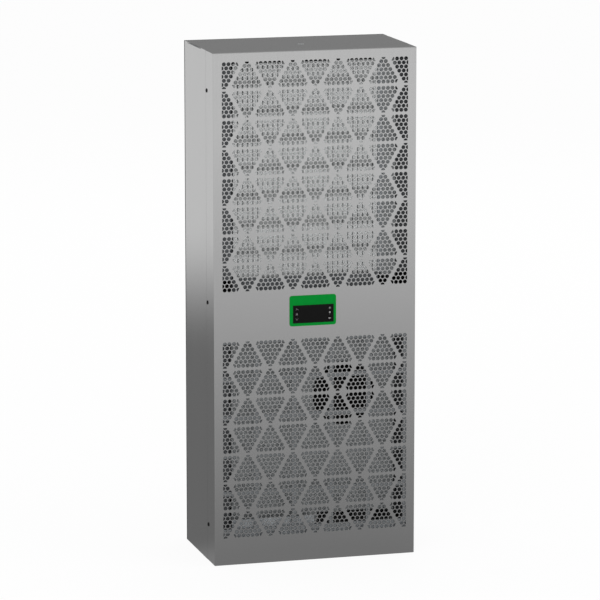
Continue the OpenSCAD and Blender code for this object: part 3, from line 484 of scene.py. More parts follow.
@dataclass
class Recipe:
    """A Geometry Nodes tree with named inputs, which makes one plain mesh.

    Attributes:
        name: The tree's name.
        sizes: Named sizes and counts, with the values that they take.
        parts: Named objects that the tree repeats.
        shapes: The geometry of each of those objects.
        tree: The node tree itself.
        given: The tree's group input.
        keys: The identifier of each input's socket, by which a modifier sets it.
    """

    name: str
    sizes: dict[str, float | int | Point]
    parts: dict[str, bpy.types.Object] = field(default_factory=dict)
    shapes: dict[str, Socket] = field(init=False)
    tree: bpy.types.NodeTree = field(init=False)
    given: bpy.types.Node = field(init=False)
    keys: dict[str, str] = field(init=False, default_factory=dict)

    def __post_init__(self) -> None:
        """Make the tree with its named inputs and its output."""
        self.tree = bpy.data.node_groups.new(self.name, "GeometryNodeTree")
        face = self.tree.interface
        face.new_socket("Geometry", in_out="OUTPUT", socket_type="NodeSocketGeometry")
        face.new_socket("Geometry", in_out="INPUT", socket_type="NodeSocketGeometry")
        kinds = {int: "NodeSocketInt", float: "NodeSocketFloat", tuple: "NodeSocketVector"}
        wanted = {name: kinds[type(value)] for name, value in self.sizes.items()}
        wanted |= dict.fromkeys(self.parts, "NodeSocketObject") | {"Material": "NodeSocketMaterial"}
        for name, kind in wanted.items():
            self.keys[name] = face.new_socket(name, in_out="INPUT", socket_type=kind).identifier
        self.given = self.tree.nodes.new("NodeGroupInput")
        self.shapes = {
            name: self.add("GeometryNodeObjectInfo", {"Object": name}, "Geometry", transform_space="ORIGINAL")
            for name in self.parts
        }

    def add(self, kind: str, inputs: dict | None = None, output: int | str = 0,
            **settings: object) -> Socket | None:
        """Add a node to this tree, where text that names one of the tree's inputs stands for that input.

        Args:
            kind: The node's type name.
            inputs: What goes into its sockets.
            output: The output that is wanted.
            **settings: Properties of the node itself.

        Returns:
            That output.
        """
        given = self.given.outputs
        wired = {
            key: given[value] if isinstance(value, str) and value in given else value
            for key, value in (inputs or {}).items()
        }
        return add_node(self.tree, kind, wired, output, **settings)

    def work_out(self, sums: dict[str, tuple], known: dict[str, Socket]) -> dict[str, Socket]:
        """Add a table of sums, each of which may name the tree's inputs and what stands before it.

        Args:
            sums: For each name its operation and its values.
            known: Other sockets that the sums name.

        Returns:
            All of these sockets by name.
        """
        results = dict(known)
        for name, (operation, *values) in sums.items():
            inputs = {k: results.get(value, value) for k, value in enumerate(values)}
            results[name] = self.add(MATH, inputs, operation=operation)
        return results

    def make(self, piece: str, geometry: Socket, finish: Finish, places: bpy.types.Mesh | None = None,
             crease: float = 40.0) -> bpy.types.Object:
        """End the tree, evaluate it once and keep the result as a plain mesh.

        Args:
            piece: The new piece's name.
            geometry: The socket that gives the finished geometry.
            finish: The piece's surface.
            places: A mesh whose points the tree reads, if it does.
            crease: The angle in degrees above which an edge stays sharp.

        Returns:
            The piece, with no modifier left on it.
        """
        real = self.add("GeometryNodeRealizeInstances", {"Geometry": geometry})
        dressed = self.add("GeometryNodeSetMaterial", {"Geometry": real, "Material": "Material"})
        self.add("NodeGroupOutput", {0: dressed})
        holder = object_from(piece, places or bpy.data.meshes.new(piece))
        modifier = holder.modifiers.new(self.name, "NODES")
        modifier.node_group = self.tree
        for name, value in {**self.sizes, **self.parts, "Material": finish.make()}.items():
            modifier[self.keys[name]] = value
        bake(holder)
        return settle(holder, finish, crease)


def bake(obj: bpy.types.Object) -> None:
    """Work an object's modifiers into its mesh and take them off.

    Args:
        obj: The object.
    """
    graph = bpy.context.evaluated_depsgraph_get()
    graph.update()
    result = bpy.data.meshes.new_from_object(obj.evaluated_get(graph), depsgraph=graph)
    obj.modifiers.clear()
    obj.data = result


def settle(obj: bpy.types.Object, finish: Finish, crease: float = 40.0,
           body: str = CASING) -> bpy.types.Object:
    """Give a finished mesh its one material and its smooth faces, and let it ride on a body.

    The normals are weighted by area, so that a large flat face beside a small rounding stays flat.

    Args:
        obj: The piece, at the origin.
        finish: Its surface.
        crease: The angle in degrees above which an edge stays sharp.
        body: The CAD body that it rides on.

    Returns:
        The same piece.
    """
    mesh = obj.data
    mesh.materials.clear()
    mesh.materials.append(finish.make())
    mesh.polygons.foreach_set("material_index", [0] * len(mesh.polygons))
    mesh.shade_smooth()
    mesh.set_sharp_from_angle(angle=math.radians(crease))
    obj.modifiers.new("flats", "WEIGHTED_NORMAL").keep_sharp = True
    bake(obj)
    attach(obj, body)
    LOG.info("%s: %d faces", obj.name, len(obj.data.polygons))
    return obj


def mesh_from(name: str, points: Sequence[Sequence[float]], faces: Sequence[Sequence[int]],
              merge: float = 0.0) -> bpy.types.Mesh:
    """Make a mesh from points in millimetres, with double points merged and faces turned outwards.

    Args:
        name: The mesh's name.
        points: Places in millimetres.
        faces: Corner numbers of each face.
        merge: Distance in millimetres under which points are one; 0 leaves the mesh as it is.

    Returns:
        The mesh, in metres.
    """
    mesh = bpy.data.meshes.new(name)
    mesh.from_pydata([[c * MM for c in p] for p in points], [], faces)
    if merge:
        work = bmesh.new()
        work.from_mesh(mesh)
        bmesh.ops.remove_doubles(work, verts=work.verts, dist=merge * MM)
        bmesh.ops.dissolve_degenerate(work, edges=work.edges, dist=merge * MM)
        bmesh.ops.recalc_face_normals(work, faces=work.faces)
        work.to_mesh(mesh)
        work.free()
    return mesh


def object_from(name: str, data: bpy.types.ID) -> bpy.types.Object:
    """Put a mesh, a lamp or a camera into the scene as an object at the origin.

    Args:
        name: The object's name.
        data: What it shows.

    Returns:
        The object.
    """
    obj = bpy.data.objects.new(name, data)
    bpy.context.scene.collection.objects.link(obj)
    return obj


def loft(rings: Sequence[Ring], closed: bool = True) -> tuple[list[Point], list[list[int]]]:
    """Join rings of points, each with the same count, by faces.

    Args:
        rings: The rings in order.
        closed: Whether the first and the last ring are filled.

    Returns:
        The points and the faces.
    """
    count = len(rings[0])
    points = [p for ring in rings for p in ring]
    faces = [
        [r * count + k, r * count + (k + 1) % count, (r + 1) * count + (k + 1) % count, (r + 1) * count + k]
        for r in range(len(rings) - 1) for k in range(count)
    ]
    if closed:
        faces.append(list(range(count))[::-1])
        faces.append([(len(rings) - 1) * count + k for k in range(count)])
    return points, faces


def lofted(name: str, *stacks: Sequence[Ring], closed: bool = True, merge: float = WELD) -> bpy.types.Object:
    """Make one object from lofts.

    Args:
        name: The object's name.
        *stacks: The rings of each loft.
        closed: Whether the first and the last ring of each are filled.
        merge: Distance in millimetres under which points are one.

    Returns:
        The object.
    """
    points, faces = [], []
    for stack in stacks:
        some, parts = loft(stack, closed)
        faces += [[k + len(points) for k in part] for part in parts]
        points += some
    return object_from(name, mesh_from(name, points, faces, merge))


def quarter(steps: int) -> list[float]:
    """Give the angles of a quarter turn in radians, in equal steps."""
    return [math.radians(90 * k / steps) for k in range(steps + 1)]


def circle(radius: float, sides: int, shift: float = 0.0) -> list[Flat]:
    """Give a circle's points about its middle, against the clock.

    Args:
        radius: Its radius.
        sides: The count of points.
        shift: Share of a side by which the first point lies past the X axis.

    Returns:
        The points.
    """
    turns = (math.tau * (k + shift) / sides for k in range(sides))
    return [(radius * math.cos(a), radius * math.sin(a)) for a in turns]


def round_rectangle(half_w: float, half_h: float, radius: float, steps: int = 6) -> list[Flat]:
    """Give the outline of a rectangle with round corners about its middle, against the clock.

    Args:
        half_w: Half its width.
        half_h: Half its height.
        radius: Radius of its corners.
        steps: Sides of each corner's arc.

    Returns:
        The points, corner by corner from the upper right.
    """
    outline = []
    for turn, (sx, sz) in enumerate(((1, 1), (-1, 1), (-1, -1), (1, -1))):
        middle_x, middle_z = sx * (half_w - radius), sz * (half_h - radius)
        turns = [math.radians(90 * (turn + k / steps)) for k in range(steps + 1)]
        outline += [(middle_x + radius * math.cos(a), middle_z + radius * math.sin(a)) for a in turns]
    return outline


def softened(node: str, piece: str, width: float, finish: Finish, corner_r: float = 0.0) -> bpy.types.Object:
    """Build a piece from a CAD node's shape with its sharp edges rounded, and let it stand for that node.

    Args:
        node: The CAD node.
        piece: The new piece's name.
        width: Width of the rounding in millimetres.
        finish: The piece's surface.
        corner_r: Radius in millimetres of the outline's four corners from the front, if they are round.

    Returns:
        The piece.
    """
    mesh = bpy.data.objects[node].data.copy()
    work = bmesh.new()
    work.from_mesh(mesh)
    bmesh.ops.remove_doubles(work, verts=work.verts, dist=0.002 * MM)
    bmesh.ops.dissolve_limit(work, angle_limit=math.radians(0.5), verts=work.verts, edges=work.edges)
    if corner_r:
        (low, high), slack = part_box(node), 0.01 * MM
        outer = {
            v for v in work.verts
            if min(v.co.x - low.x, high.x - v.co.x) < slack and min(v.co.z - low.z, high.z - v.co.z) < slack
        }
        corners = [
            edge for edge in work.edges
            if set(edge.verts) <= outer and (edge.verts[0].co - edge.verts[1].co).xz.length < slack
        ]
        bmesh.ops.bevel(work, geom=corners, offset=corner_r * MM, segments=6, profile=0.5, affect="EDGES")
    work.to_mesh(mesh)
    work.free()
    obj = object_from(piece, mesh)
    bevel = obj.modifiers.new("edges", "BEVEL")
    bevel.width, bevel.segments, bevel.limit_method = width * MM, 2, "ANGLE"
    bevel.angle_limit, bevel.use_clamp_overlap = math.radians(40), True
    bake(obj)
    settle(obj, finish)
    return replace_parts(obj, node)


def rays_in(tree: bpy.types.NodeTree) -> tuple[Socket, Socket]:
    """Tell which rays see the studio straight or through glass, and which see it in a mirror.

    Args:
        tree: The tree of the world or of a material.

    Returns:
        A socket that is 1 for direct rays, and one that is 1 for mirrored rays.
    """
    rays = add_node(tree, "ShaderNodeLightPath").node.outputs
    straight = {0: rays["Is Camera Ray"], 1: rays["Is Transmission Ray"]}
    return add_node(tree, MATH, straight, operation="MAXIMUM"), rays["Is Glossy Ray"]


@dataclass(frozen=True)
class Lamp:
    """A soft area lamp, with its sizes in metres and its power in watts.

    An outer lamp is round and looks at the middle of the unit, and mirrors show the room and not the lamp.
    An inner one is a faint rectangle just behind the punched sheet; it shines inwards and is never seen.
    """

    name: str
    place: Point
    size: Flat
    power: float
    inner: bool = False
    aim: Point = (0.0, 0.0, 0.45)

    def build(self) -> None:
        """Hang the lamp and point it."""
        data = bpy.data.lights.new(self.name, "AREA")
        data.shape = "RECTANGLE" if self.inner else "DISK"
        data.size, data.size_y = self.size
        data.energy = self.power
        lamp = object_from(self.name, data)
        way = Vector((0, 1, 0)) if self.inner else Vector(self.aim) - Vector(self.place)
        lamp.location, lamp.rotation_mode = self.place, "QUATERNION"
        lamp.rotation_quaternion = way.to_track_quat("-Z", "Y")
        lamp.visible_glossy, lamp.visible_camera = False, not self.inner


@dataclass
class Studio:
    """Pale floor, soft light, and the camera at the photograph's place; sizes in metres.

    What a mirror sees is told apart from what the camera sees, so that the steel has its tone on white.

    Attributes:
        wall_rise: Direction, as its Z, at which the mirrored wall starts and ends to brighten.
        floor_white: How much of the floor is plain white for the camera; the rest takes the shadow.
        front_reach: Distances from the unit between which the mirrored floor before it brightens.
        back_reach: The same for the floor behind it.
        turn_to_back: Direction, as its Y, at which the one floor gives way to the other.
    """

    camera_at: Point = (-1.79924, -6.45728, 1.70199)
    camera_looks: Point = (0.26395, 0.94699, -0.18315)
    lens: float = 228.3
    sensor_w: float = 36.0
    sight: float = 200.0
    lamps: tuple[Lamp, ...] = (
        Lamp("key_softbox", (-2.6, -3.6, 3.4), (2.4, 2.4), 46),
        Lamp("fill_softbox", (3.2, -2.6, 2.4), (2.4, 2.4), 22),
        Lamp("rear_softbox", (1.5, 3.8, 3.0), (2.4, 2.4), 26),
        Lamp("upper_inner_fill", (0.0, -0.0995, 0.7), (0.33, 0.41), 0.041, True),
        Lamp("lower_inner_fill", (0.0, -0.0995, 0.217), (0.33, 0.37), 0.021, True),
    )
    room_level: float = 0.85
    wall_rise: Flat = (0.1, 0.75)
    wall_tones: Flat = (0.22, 0.55)
    floor_r: float = 60.0
    floor_z: float = -0.0002
    floor_white: float = 0.92
    front_reach: Flat = (0.2, 4.9)
    front_tones: Flat = (0.26, 0.84)
    back_reach: Flat = (1.9, 3.6)
    back_tones: Flat = (0.18, 0.72)
    turn_to_back: Flat = (-0.3, 0.5)

    def build(self) -> None:
        """Make the room, the floor, the lamps and the camera, and show colours as they are."""
        bpy.context.scene.view_settings.view_transform = "Standard"
        self.make_room()
        self.make_floor()
        for lamp in self.lamps:
            lamp.build()
        self.make_camera()

    def make_camera(self) -> None:
        """Put the camera where the photograph was taken from."""
        data = bpy.data.cameras.new("photograph_view")
        data.lens, data.sensor_width, data.clip_end = self.lens, self.sensor_w, self.sight
        camera = object_from("photograph_view", data)
        camera.location, camera.rotation_mode = self.camera_at, "QUATERNION"
        camera.rotation_quaternion = Vector(self.camera_looks).to_track_quat("-Z", "Y")
        bpy.context.scene.camera = camera

    def make_room(self) -> None:
        """White for the camera and an even light; mirrors see a wall that brightens with height."""
        world = bpy.data.worlds.new("studio_room")
        world.use_nodes = True
        tree = world.node_tree
        tree.nodes.clear()
        way = add_node(tree, "ShaderNodeTexCoord", output="Generated")
        wall = add_node(tree, MAP_RANGE, {
            "Value": add_node(tree, "ShaderNodeSeparateXYZ", {0: way}, 2),
            "From Min": self.wall_rise[0], "From Max": self.wall_rise[1],
            "To Min": self.wall_tones[0], "To Max": self.wall_tones[1],
        })
        direct, mirrored = rays_in(tree)
        level = add_node(tree, "ShaderNodeMix", {0: mirrored, 2: self.room_level, 3: wall})
        strength = add_node(tree, "ShaderNodeMix", {0: direct, 2: level, 3: 1.0})
        light = add_node(tree, "ShaderNodeBackground", {"Color": linear("#FFFFFF"), "Strength": strength})
        add_node(tree, "ShaderNodeOutputWorld", {0: light})
        bpy.context.scene.world = world

    def make_floor(self) -> None:
        """Pale paper floor: white for the camera with a faint shadow; mirrors see it darker near the unit."""
        ring = [(x, y, self.floor_z / MM) for x, y in circle(self.floor_r / MM, sides=64)]
        mesh = mesh_from("floor", ring, [list(range(len(ring)))])
        floor = object_from("floor", mesh)
        material = bpy.data.materials.new("pale_paper_floor")
        material.use_nodes = True
        tree = material.node_tree
        tree.nodes.clear()
        where = add_node(tree, "ShaderNodeTexCoord", output="Object")
        flat = add_node(tree, "ShaderNodeVectorMath", {0: where, 1: (1, 1, 0)}, operation="MULTIPLY")
        away = add_node(tree, "ShaderNodeVectorMath", {0: flat}, "Value", operation="LENGTH")
        unit = add_node(tree, "ShaderNodeVectorMath", {0: flat}, operation="NORMALIZE")
        front_tone = add_node(tree, MAP_RANGE, {
            "Value": away, "From Min": self.front_reach[0], "From Max": self.front_reach[1],
            "To Min": self.front_tones[0], "To Max": self.front_tones[1],
        })
        back_tone = add_node(tree, MAP_RANGE, {
            "Value": away, "From Min": self.back_reach[0], "From Max": self.back_reach[1],
            "To Min": self.back_tones[0], "To Max": self.back_tones[1],
        }, interpolation_type="SMOOTHSTEP")
        side = add_node(tree, MAP_RANGE, {
            "Value": add_node(tree, "ShaderNodeSeparateXYZ", {0: unit}, 1),
            "From Min": self.turn_to_back[0], "From Max": self.turn_to_back[1],
        }, interpolation_type="SMOOTHSTEP")
        tone = add_node(tree, "ShaderNodeMix", {0: side, 2: front_tone, 3: back_tone})
        paper = add_node(tree, "ShaderNodeBsdfDiffuse", {"Color": linear("#F2F2F2")})
        white = add_node(tree, "ShaderNodeEmission", {"Color": linear("#FFFFFF"), "Strength": 1.0})
        mirrored = add_node(tree, "ShaderNodeEmission", {"Color": linear("#FFFFFF"), "Strength": tone})
        direct, glossy = rays_in(tree)
        share = add_node(tree, MATH, {0: direct, 1: self.floor_white}, operation="MULTIPLY")
        seen = add_node(tree, "ShaderNodeMixShader", {0: share, 1: paper, 2: white})
        whole = add_node(tree, "ShaderNodeMixShader", {0: glossy, 1: seen, 2: mirrored})
        add_node(tree, "ShaderNodeOutputMaterial", {0: whole})
        mesh.materials.append(material)


@dataclass
class PunchedCover:
    """The front cover: one folded sheet with two fields of holes that stand in triangular cells.

    Attributes:
        sheet: Thickness of the plain sheet. That of the fields, field_sheet, is drawn thinner and their holes
            wider than on the real one, so that as much of the coil shows through as in the photograph.
        fold_r: Radius of the folds beside the face; level_fold_r is that of the upper and lower ones.
        half_cells: Cells on each side of the middle one, counted in half pitches.
        tip_half: Half the width of a tile at its narrow end.
        window: Middle X and Z, width and height of the display's opening.
        seam: Distance under which points of neighbouring tiles are one.
    """

    width: float = 370.0
    height: float = 915.0
    sheet: float = 1.2
    fold_r: float = 2.5
    level_fold_r: float = 1.0
    corner_r: float = 0.8
    corner_steps: int = 4
    fold_steps: int = 6
    depth: float = 51.0
    field_sheet: float = 0.6
    hole_d: float = 7.2
    hole_sides: int = 16
    hole_pitch: float = 8.26
    rows: int = 7
    band_pitch: float = 51.25
    band_h: float = 46.9
    half_cells: int = 4
    upper_bands: int = 8
    lower_bands: int = 7
    upper_margin: float = 16.0
    lower_margin: float = 49.4
    field_w: float = 338.5
    field_edge: float = 1.0
    tip_half: float = 4.05
    seam: float = 0.01
    screw_back: float = 45.0
    screw_heights: Point = (66.0, 468.5, 845.0)
    window: tuple[float, float, float, float] = (-4.1, 447.7, 72.0, 29.5)
    face: float = field(init=False)

    def __post_init__(self) -> None:
        """Look up Y of the punched face, once, as the CAD sheet has very many points."""
        self.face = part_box("front_panel")[0].y / MM

    @property
    def cell_pitch(self) -> float:
        """Distance between cells that stand the same way up."""
        return (self.rows + 3) * self.hole_pitch

    @property
    def land(self) -> float:
        """Plain sheet between a band of holes and the edge of its tiles."""
        return (self.band_pitch - self.band_h) / 2

    def hole_outline(self, x: float, y: float) -> list[Flat]:
        """Give a hole's outline, with the corner holes cut square to their corner of the cell.

        Args:
            x: Place of the hole's middle across the cell.
            y: Its height in the cell.

        Returns:
            The outline, against the clock.
        """
        radius = self.hole_d / 2
        centre_y = self.land + radius + (self.rows - 1) * self.hole_pitch * math.tan(math.radians(30)) / 2
        reach = self.land + self.band_h - centre_y
        outline = [(x + px, y + py) for px, py in circle(radius, self.hole_sides, 0.5)]
        for turn in (90, 210, 330):
            way = (math.cos(math.radians(turn)), math.sin(math.radians(turn)))
            outline = cut_outline(outline, way, reach + centre_y * way[1])
        return outline

    def tile(self, name: str, x_to: float | None = None, hanging: bool = False) -> bpy.types.Object:
        """Make the flat sheet round one cell of holes, about the middle of its height.

        Args:
            name: The tile's name.
            x_to: Where the tile and its holes are cut off on the right, if they are.
            hanging: Whether the cell's widest row is the upper one.

        Returns:
            An object for the Geometry Nodes tree to repeat.
        """
        foot, right = self.cell_pitch / 2 - self.tip_half, self.tip_half
        rise = self.hole_pitch * math.sin(math.radians(60))
        holes = [
            self.hole_outline((i - (self.rows - 1 - row) / 2) * self.hole_pitch,
                              self.land + self.hole_d / 2 + row * rise)
            for row in range(self.rows) for i in range(self.rows - row)
        ]
        lower_right = (foot, 0.0)
        if x_to is not None:
            right = x_to + self.field_edge
            lower_right = (right, 0.0)
            holes = [cut_outline(hole, (1.0, 0.0), x_to) for hole in holes]
            holes = [hole for hole in holes if len(hole) > 2]
        outline = [(-foot, 0.0), lower_right, (right, self.band_pitch), (-self.tip_half, self.band_pitch)]
        middle, flip = self.band_pitch / 2, -1 if hanging else 1
        outline, *holes = ([(x, flip * (y - middle)) for x, y in loop] for loop in (outline, *holes))
        points, edges = [], []
        for loop in (outline, *holes):
            first = len(points)
            points += [Vector(p) for p in loop]
            edges += [(first + k, first + (k + 1) % len(loop)) for k in range(len(loop))]
        corners, _, triangles, *_ = delaunay_2d_cdt(points, edges, [], 0, 1e-4)
        kept = []
        for triangle in triangles:
            a, b, c = (corners[k] for k in triangle)
            spot = (a + b + c) / 3
            if inside(spot, outline) and not any(inside(spot, hole) for hole in holes):
                kept.append(list(triangle) if (b - a).cross(c - a) > 0 else list(triangle)[::-1])
        return object_from(name, mesh_from(name, [(p.x, p.y, 0) for p in corners], kept))

    def make_field(self, piece: str, top: float, bands: int,
                   tiles: dict[str, bpy.types.Object]) -> bpy.types.Object:
        """Repeat the tiles over one field by Geometry Nodes and give the sheet its thickness.

        Args:
            piece: The new piece's name.
            top: Height of the holes' upper edge.
            bands: Bands of cells.
            tiles: The whole tile and the two that end at the field's edge.

        Returns:
            The punched field.
        """
        middle_z = top + self.land - bands * self.band_pitch / 2
        sizes = {
            "Columns": 2 * self.half_cells + 1, "Bands": bands, "Column Pitch": self.cell_pitch / 2 * MM,
            "Band Pitch": self.band_pitch * MM, "Thickness": self.field_sheet * MM,
            "Place": (0.0, (self.face + self.field_sheet) * MM, middle_z * MM),
        }
        r = Recipe(piece + "_tree", sizes, tiles)
        at = r.add("ShaderNodeSeparateXYZ", {0: r.add("GeometryNodeInputPosition")}).node.outputs
        sums = r.work_out({
            "across": ("SUBTRACT", "Columns", 1), "up": ("SUBTRACT", "Bands", 1),
            "width": ("MULTIPLY", "across", "Column Pitch"), "height": ("MULTIPLY", "up", "Band Pitch"),
            "aside": ("DIVIDE", "x", "Column Pitch"), "column": ("ROUND", "aside"),
            "reach": ("DIVIDE", "up", 2.0), "raised": ("DIVIDE", "y", "Band Pitch"),
            "below top": ("SUBTRACT", "reach", "raised"), "band": ("ROUND", "below top"),
            "columns out": ("ABSOLUTE", "column"), "count": ("ADD", "columns out", "band"),
            "odd": ("MODULO", "count", 2.0), "hangs": ("SUBTRACT", 1.0, "odd"),
            "half": ("DIVIDE", "across", 2.0), "limit": ("SUBTRACT", "half", 0.5),
            "last": ("GREATER_THAN", "columns out", "limit"), "whole": ("SUBTRACT", 1.0, "last"),
            "right": ("GREATER_THAN", "column", 0.0), "left": ("SUBTRACT", 1.0, "right"),
            "unlike": ("SUBTRACT", "right", "hangs"), "differs": ("ABSOLUTE", "unlike"),
            "agrees": ("SUBTRACT", 1.0, "differs"),
            "standing": ("MULTIPLY", "last", "differs"), "hanging": ("MULTIPLY", "last", "agrees"),
            "turned over": ("MULTIPLY", "hangs", math.pi), "turned left": ("MULTIPLY", "left", math.pi),
        }, {"x": at[0], "y": at[1]})
        grid = r.add("GeometryNodeMeshGrid", {
            "Size X": sums["width"], "Size Y": sums["height"], "Vertices X": "Columns", "Vertices Y": "Bands",
        }, "Mesh")
        # Cells stand and hang in turn along a band and from band to band. The last column takes the tiles
        # that end at the field's edge. On the left they are turned half round, which turns them over too.
        chosen = {
            "Whole Tile": ("whole", "turned over"), "Standing Edge Tile": ("standing", "turned left"),
            "Hanging Edge Tile": ("hanging", "turned left"),
        }
        sets = [
            r.add("GeometryNodeInstanceOnPoints", {
                "Points": grid, "Selection": sums[choice], "Instance": r.shapes[name],
                "Rotation": r.add("ShaderNodeCombineXYZ", {2: sums[turn]}),
            })
            for name, (choice, turn) in chosen.items()
        ]
        joined = r.add("GeometryNodeJoinGeometry", {0: sets})
        real = r.add("GeometryNodeRealizeInstances", {"Geometry": joined})
        flat = r.add("GeometryNodeMergeByDistance", {"Geometry": real, "Distance": self.seam * MM})
        raised = r.add("GeometryNodeExtrudeMesh", {
            "Mesh": flat, "Offset": (0, 0, 1), "Offset Scale": "Thickness", "Individual": False,
        })
        shell = r.add("GeometryNodeJoinGeometry", {0: [raised, r.add("GeometryNodeFlipFaces", {0: flat})]})
        solid = r.add("GeometryNodeMergeByDistance", {"Geometry": shell, "Distance": self.seam * MM})
        placed = r.add("GeometryNodeTransform", {
            "Geometry": solid, "Translation": "Place", "Rotation": (math.pi / 2, 0, 0),
        })
        punched = r.make(piece, placed, STEEL)
        # The holes' walls take the darker edge finish: painted shade in the holes
        punched.data.materials.append(PUNCHED_EDGE.make())
        for wall in punched.data.polygons:
            wall.material_index = int(abs(wall.normal.y) < 0.5)
        return punched

    def cover_ring(self, out: float, back: float, xs: Sequence[float], zs: Sequence[float]) -> list[Point]:
        """Give one ring of the folded edge, with points where the flat sheet has them.

        Args:
            out: How far the ring lies outside the flat part of the sheet.
            back: How far it lies behind the face.
            xs: The flat sheet's divisions across.
            zs: Its divisions up.

        Returns:
            The ring, against the clock as seen from the front.
        """
        middle = (zs[0] + zs[-1]) / 2
        rise = out * self.level_fold_r / self.fold_r
        corners = round_rectangle(xs[-1] + out, zs[-1] - middle + rise, self.corner_r * out / self.fold_r,
                                  self.corner_steps)
        right, left, top, low = xs[-1] + out, xs[0] - out, zs[-1] + rise, zs[0] - rise
        sides = (
            [(x, top) for x in reversed(xs[1:-1])], [(left, z) for z in reversed(zs[1:-1])],
            [(x, low) for x in xs[1:-1]], [(right, z) for z in zs[1:-1]],
        )
        ring, size = [], self.corner_steps + 1
        for turn, side in enumerate(sides):
            ring += [(x, middle + z) for x, z in corners[size * turn:size * (turn + 1)]] + side
        return [(x, self.face + back, z) for x, z in ring]

    def make_sheet(self) -> bpy.types.Object:
        """Fold the plain sheet round the fields: margins, middle band, round folds and side walls.

        Returns:
            The sheet, which stands for the two CAD nodes of the cover.
        """
        half_w, edge = self.width / 2, self.field_w / 2 + self.field_edge
        flat_x, low, high = half_w - self.fold_r, self.level_fold_r, self.height - self.level_fold_r
        upper_top = self.height - self.upper_margin + self.land
        upper_low = upper_top - self.upper_bands * self.band_pitch
        lower_low = self.lower_margin - self.land
        lower_top = lower_low + self.lower_bands * self.band_pitch
        cx, cz, cw, ch = self.window
        xs = [-flat_x, -edge, cx - cw / 2, cx + cw / 2, edge, flat_x]
        zs = [low, lower_low, lower_top, cz - ch / 2, cz + ch / 2, upper_low, upper_top, high]
        points = [(x, self.face, z) for z in zs for x in xs]
        faces = []
        fields, window, wide = {(row, col) for row in (1, 5) for col in (1, 2, 3)}, {(3, 2)}, len(xs)
        for row in range(len(zs) - 1):
            for col in range(wide - 1):
                if (row, col) not in fields | window:
                    first = row * wide + col
                    faces.append([first, first + 1, first + 1 + wide, first + wide])
        arc = quarter(self.fold_steps)
        loops = [(self.fold_r * math.sin(a), self.fold_r * (1 - math.cos(a))) for a in arc]
        loops.append((self.fold_r, self.depth))
        rings = [self.cover_ring(out, back, xs, zs) for out, back in loops]
        rounded, walls = loft(rings, closed=False)
        faces += [[k + len(points) for k in wall] for wall in walls]
        points += rounded
        obj = object_from("folded_cover_sheet", mesh_from("folded_cover_sheet", points, faces, merge=0.005))
        wall = obj.modifiers.new("wall", "SOLIDIFY")
        wall.thickness, wall.offset, wall.use_even_offset = self.sheet * MM, -1, True
        bake(obj)
        settle(obj, STEEL, crease=20)
        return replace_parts(obj, "front_panel", "cover_frame")

    def screw_places(self) -> list[tuple[Point, Point]]:
        """Give the places of the screws in the cover's sides.

        Returns:
            For each screw its place in millimetres and its turn about X, Y and Z in degrees.
        """
        return [
            ((side * self.width / 2, self.face + self.screw_back, z), (0, side * 90, 0))
            for side in (-1, 1) for z in self.screw_heights
        ]

    def build(self) -> None:
        """Make the sheet and its two punched fields."""
        last = self.field_w / 2 - self.half_cells * self.cell_pitch / 2
        tiles = {
            "Whole Tile": self.tile("whole_tile"),
            "Standing Edge Tile": self.tile("standing_edge_tile", x_to=last),
            "Hanging Edge Tile": self.tile("hanging_edge_tile", x_to=last, hanging=True),
        }
        self.make_field("punched_field_upper", self.height - self.upper_margin, self.upper_bands, tiles)
        lower_top = self.lower_margin + (self.lower_bands - 1) * self.band_pitch + self.band_h
        self.make_field("punched_field_lower", lower_top, self.lower_bands, tiles)
        for tile in tiles.values():
            bpy.data.objects.remove(tile)
        self.make_sheet()


def cut_outline(outline: Sequence[Flat], way: Flat, limit: float) -> list[Flat]:
    """Cut a convex outline along a line.

    Args:
        outline: The outline's points in order.
        way: Unit direction that points across the line, out of what is kept.
        limit: How far along that direction the line lies.

    Returns:
        The points of what is kept.
    """
    kept = []
    for k, point in enumerate(outline):
        after = outline[(k + 1) % len(outline)]
        d0 = point[0] * way[0] + point[1] * way[1] - limit
        d1 = after[0] * way[0] + after[1] * way[1] - limit
        if d0 <= 0:
            kept.append(point)
        if d0 * d1 < 0:
            share = d0 / (d0 - d1)
            kept.append((point[0] + share * (after[0] - point[0]), point[1] + share * (after[1] - point[1])))
    return kept


def inside(point: Vector, outline: Sequence[Flat]) -> bool:
    """Tell whether a point lies in a convex outline, whichever way round that runs.

    Args:
        point: The point.
        outline: The outline's points in order.

    Returns:
        Whether it lies inside.
    """
    signs = []
    for k, start in enumerate(outline):
        end = outline[(k + 1) % len(outline)]
        signs.append((end[0] - start[0]) * (point.y - start[1]) - (end[1] - start[1]) * (point.x - start[0]))
    return all(s > 0 for s in signs) or all(s < 0 for s in signs)


def rectangle_loops(profile: Sequence[Flat], half_w: float, half_h: float,
                    middle_z: float) -> list[list[Point]]:
    """Give rectangular rings for a profile that runs round a frame.

    Args:
        profile: For each ring, how far it lies inside the outline, and its Y.
        half_w: Half the frame's width.
        half_h: Half its height.
        middle_z: Height of its middle.

    Returns:
        One ring of four corners for each point of the profile.
    """
    corners = ((-1, -1), (1, -1), (1, 1), (-1, 1))
    return [[(sx * (half_w - u), y, middle_z + sz * (half_h - u)) for sx, sz in corners] for u, y in profile]


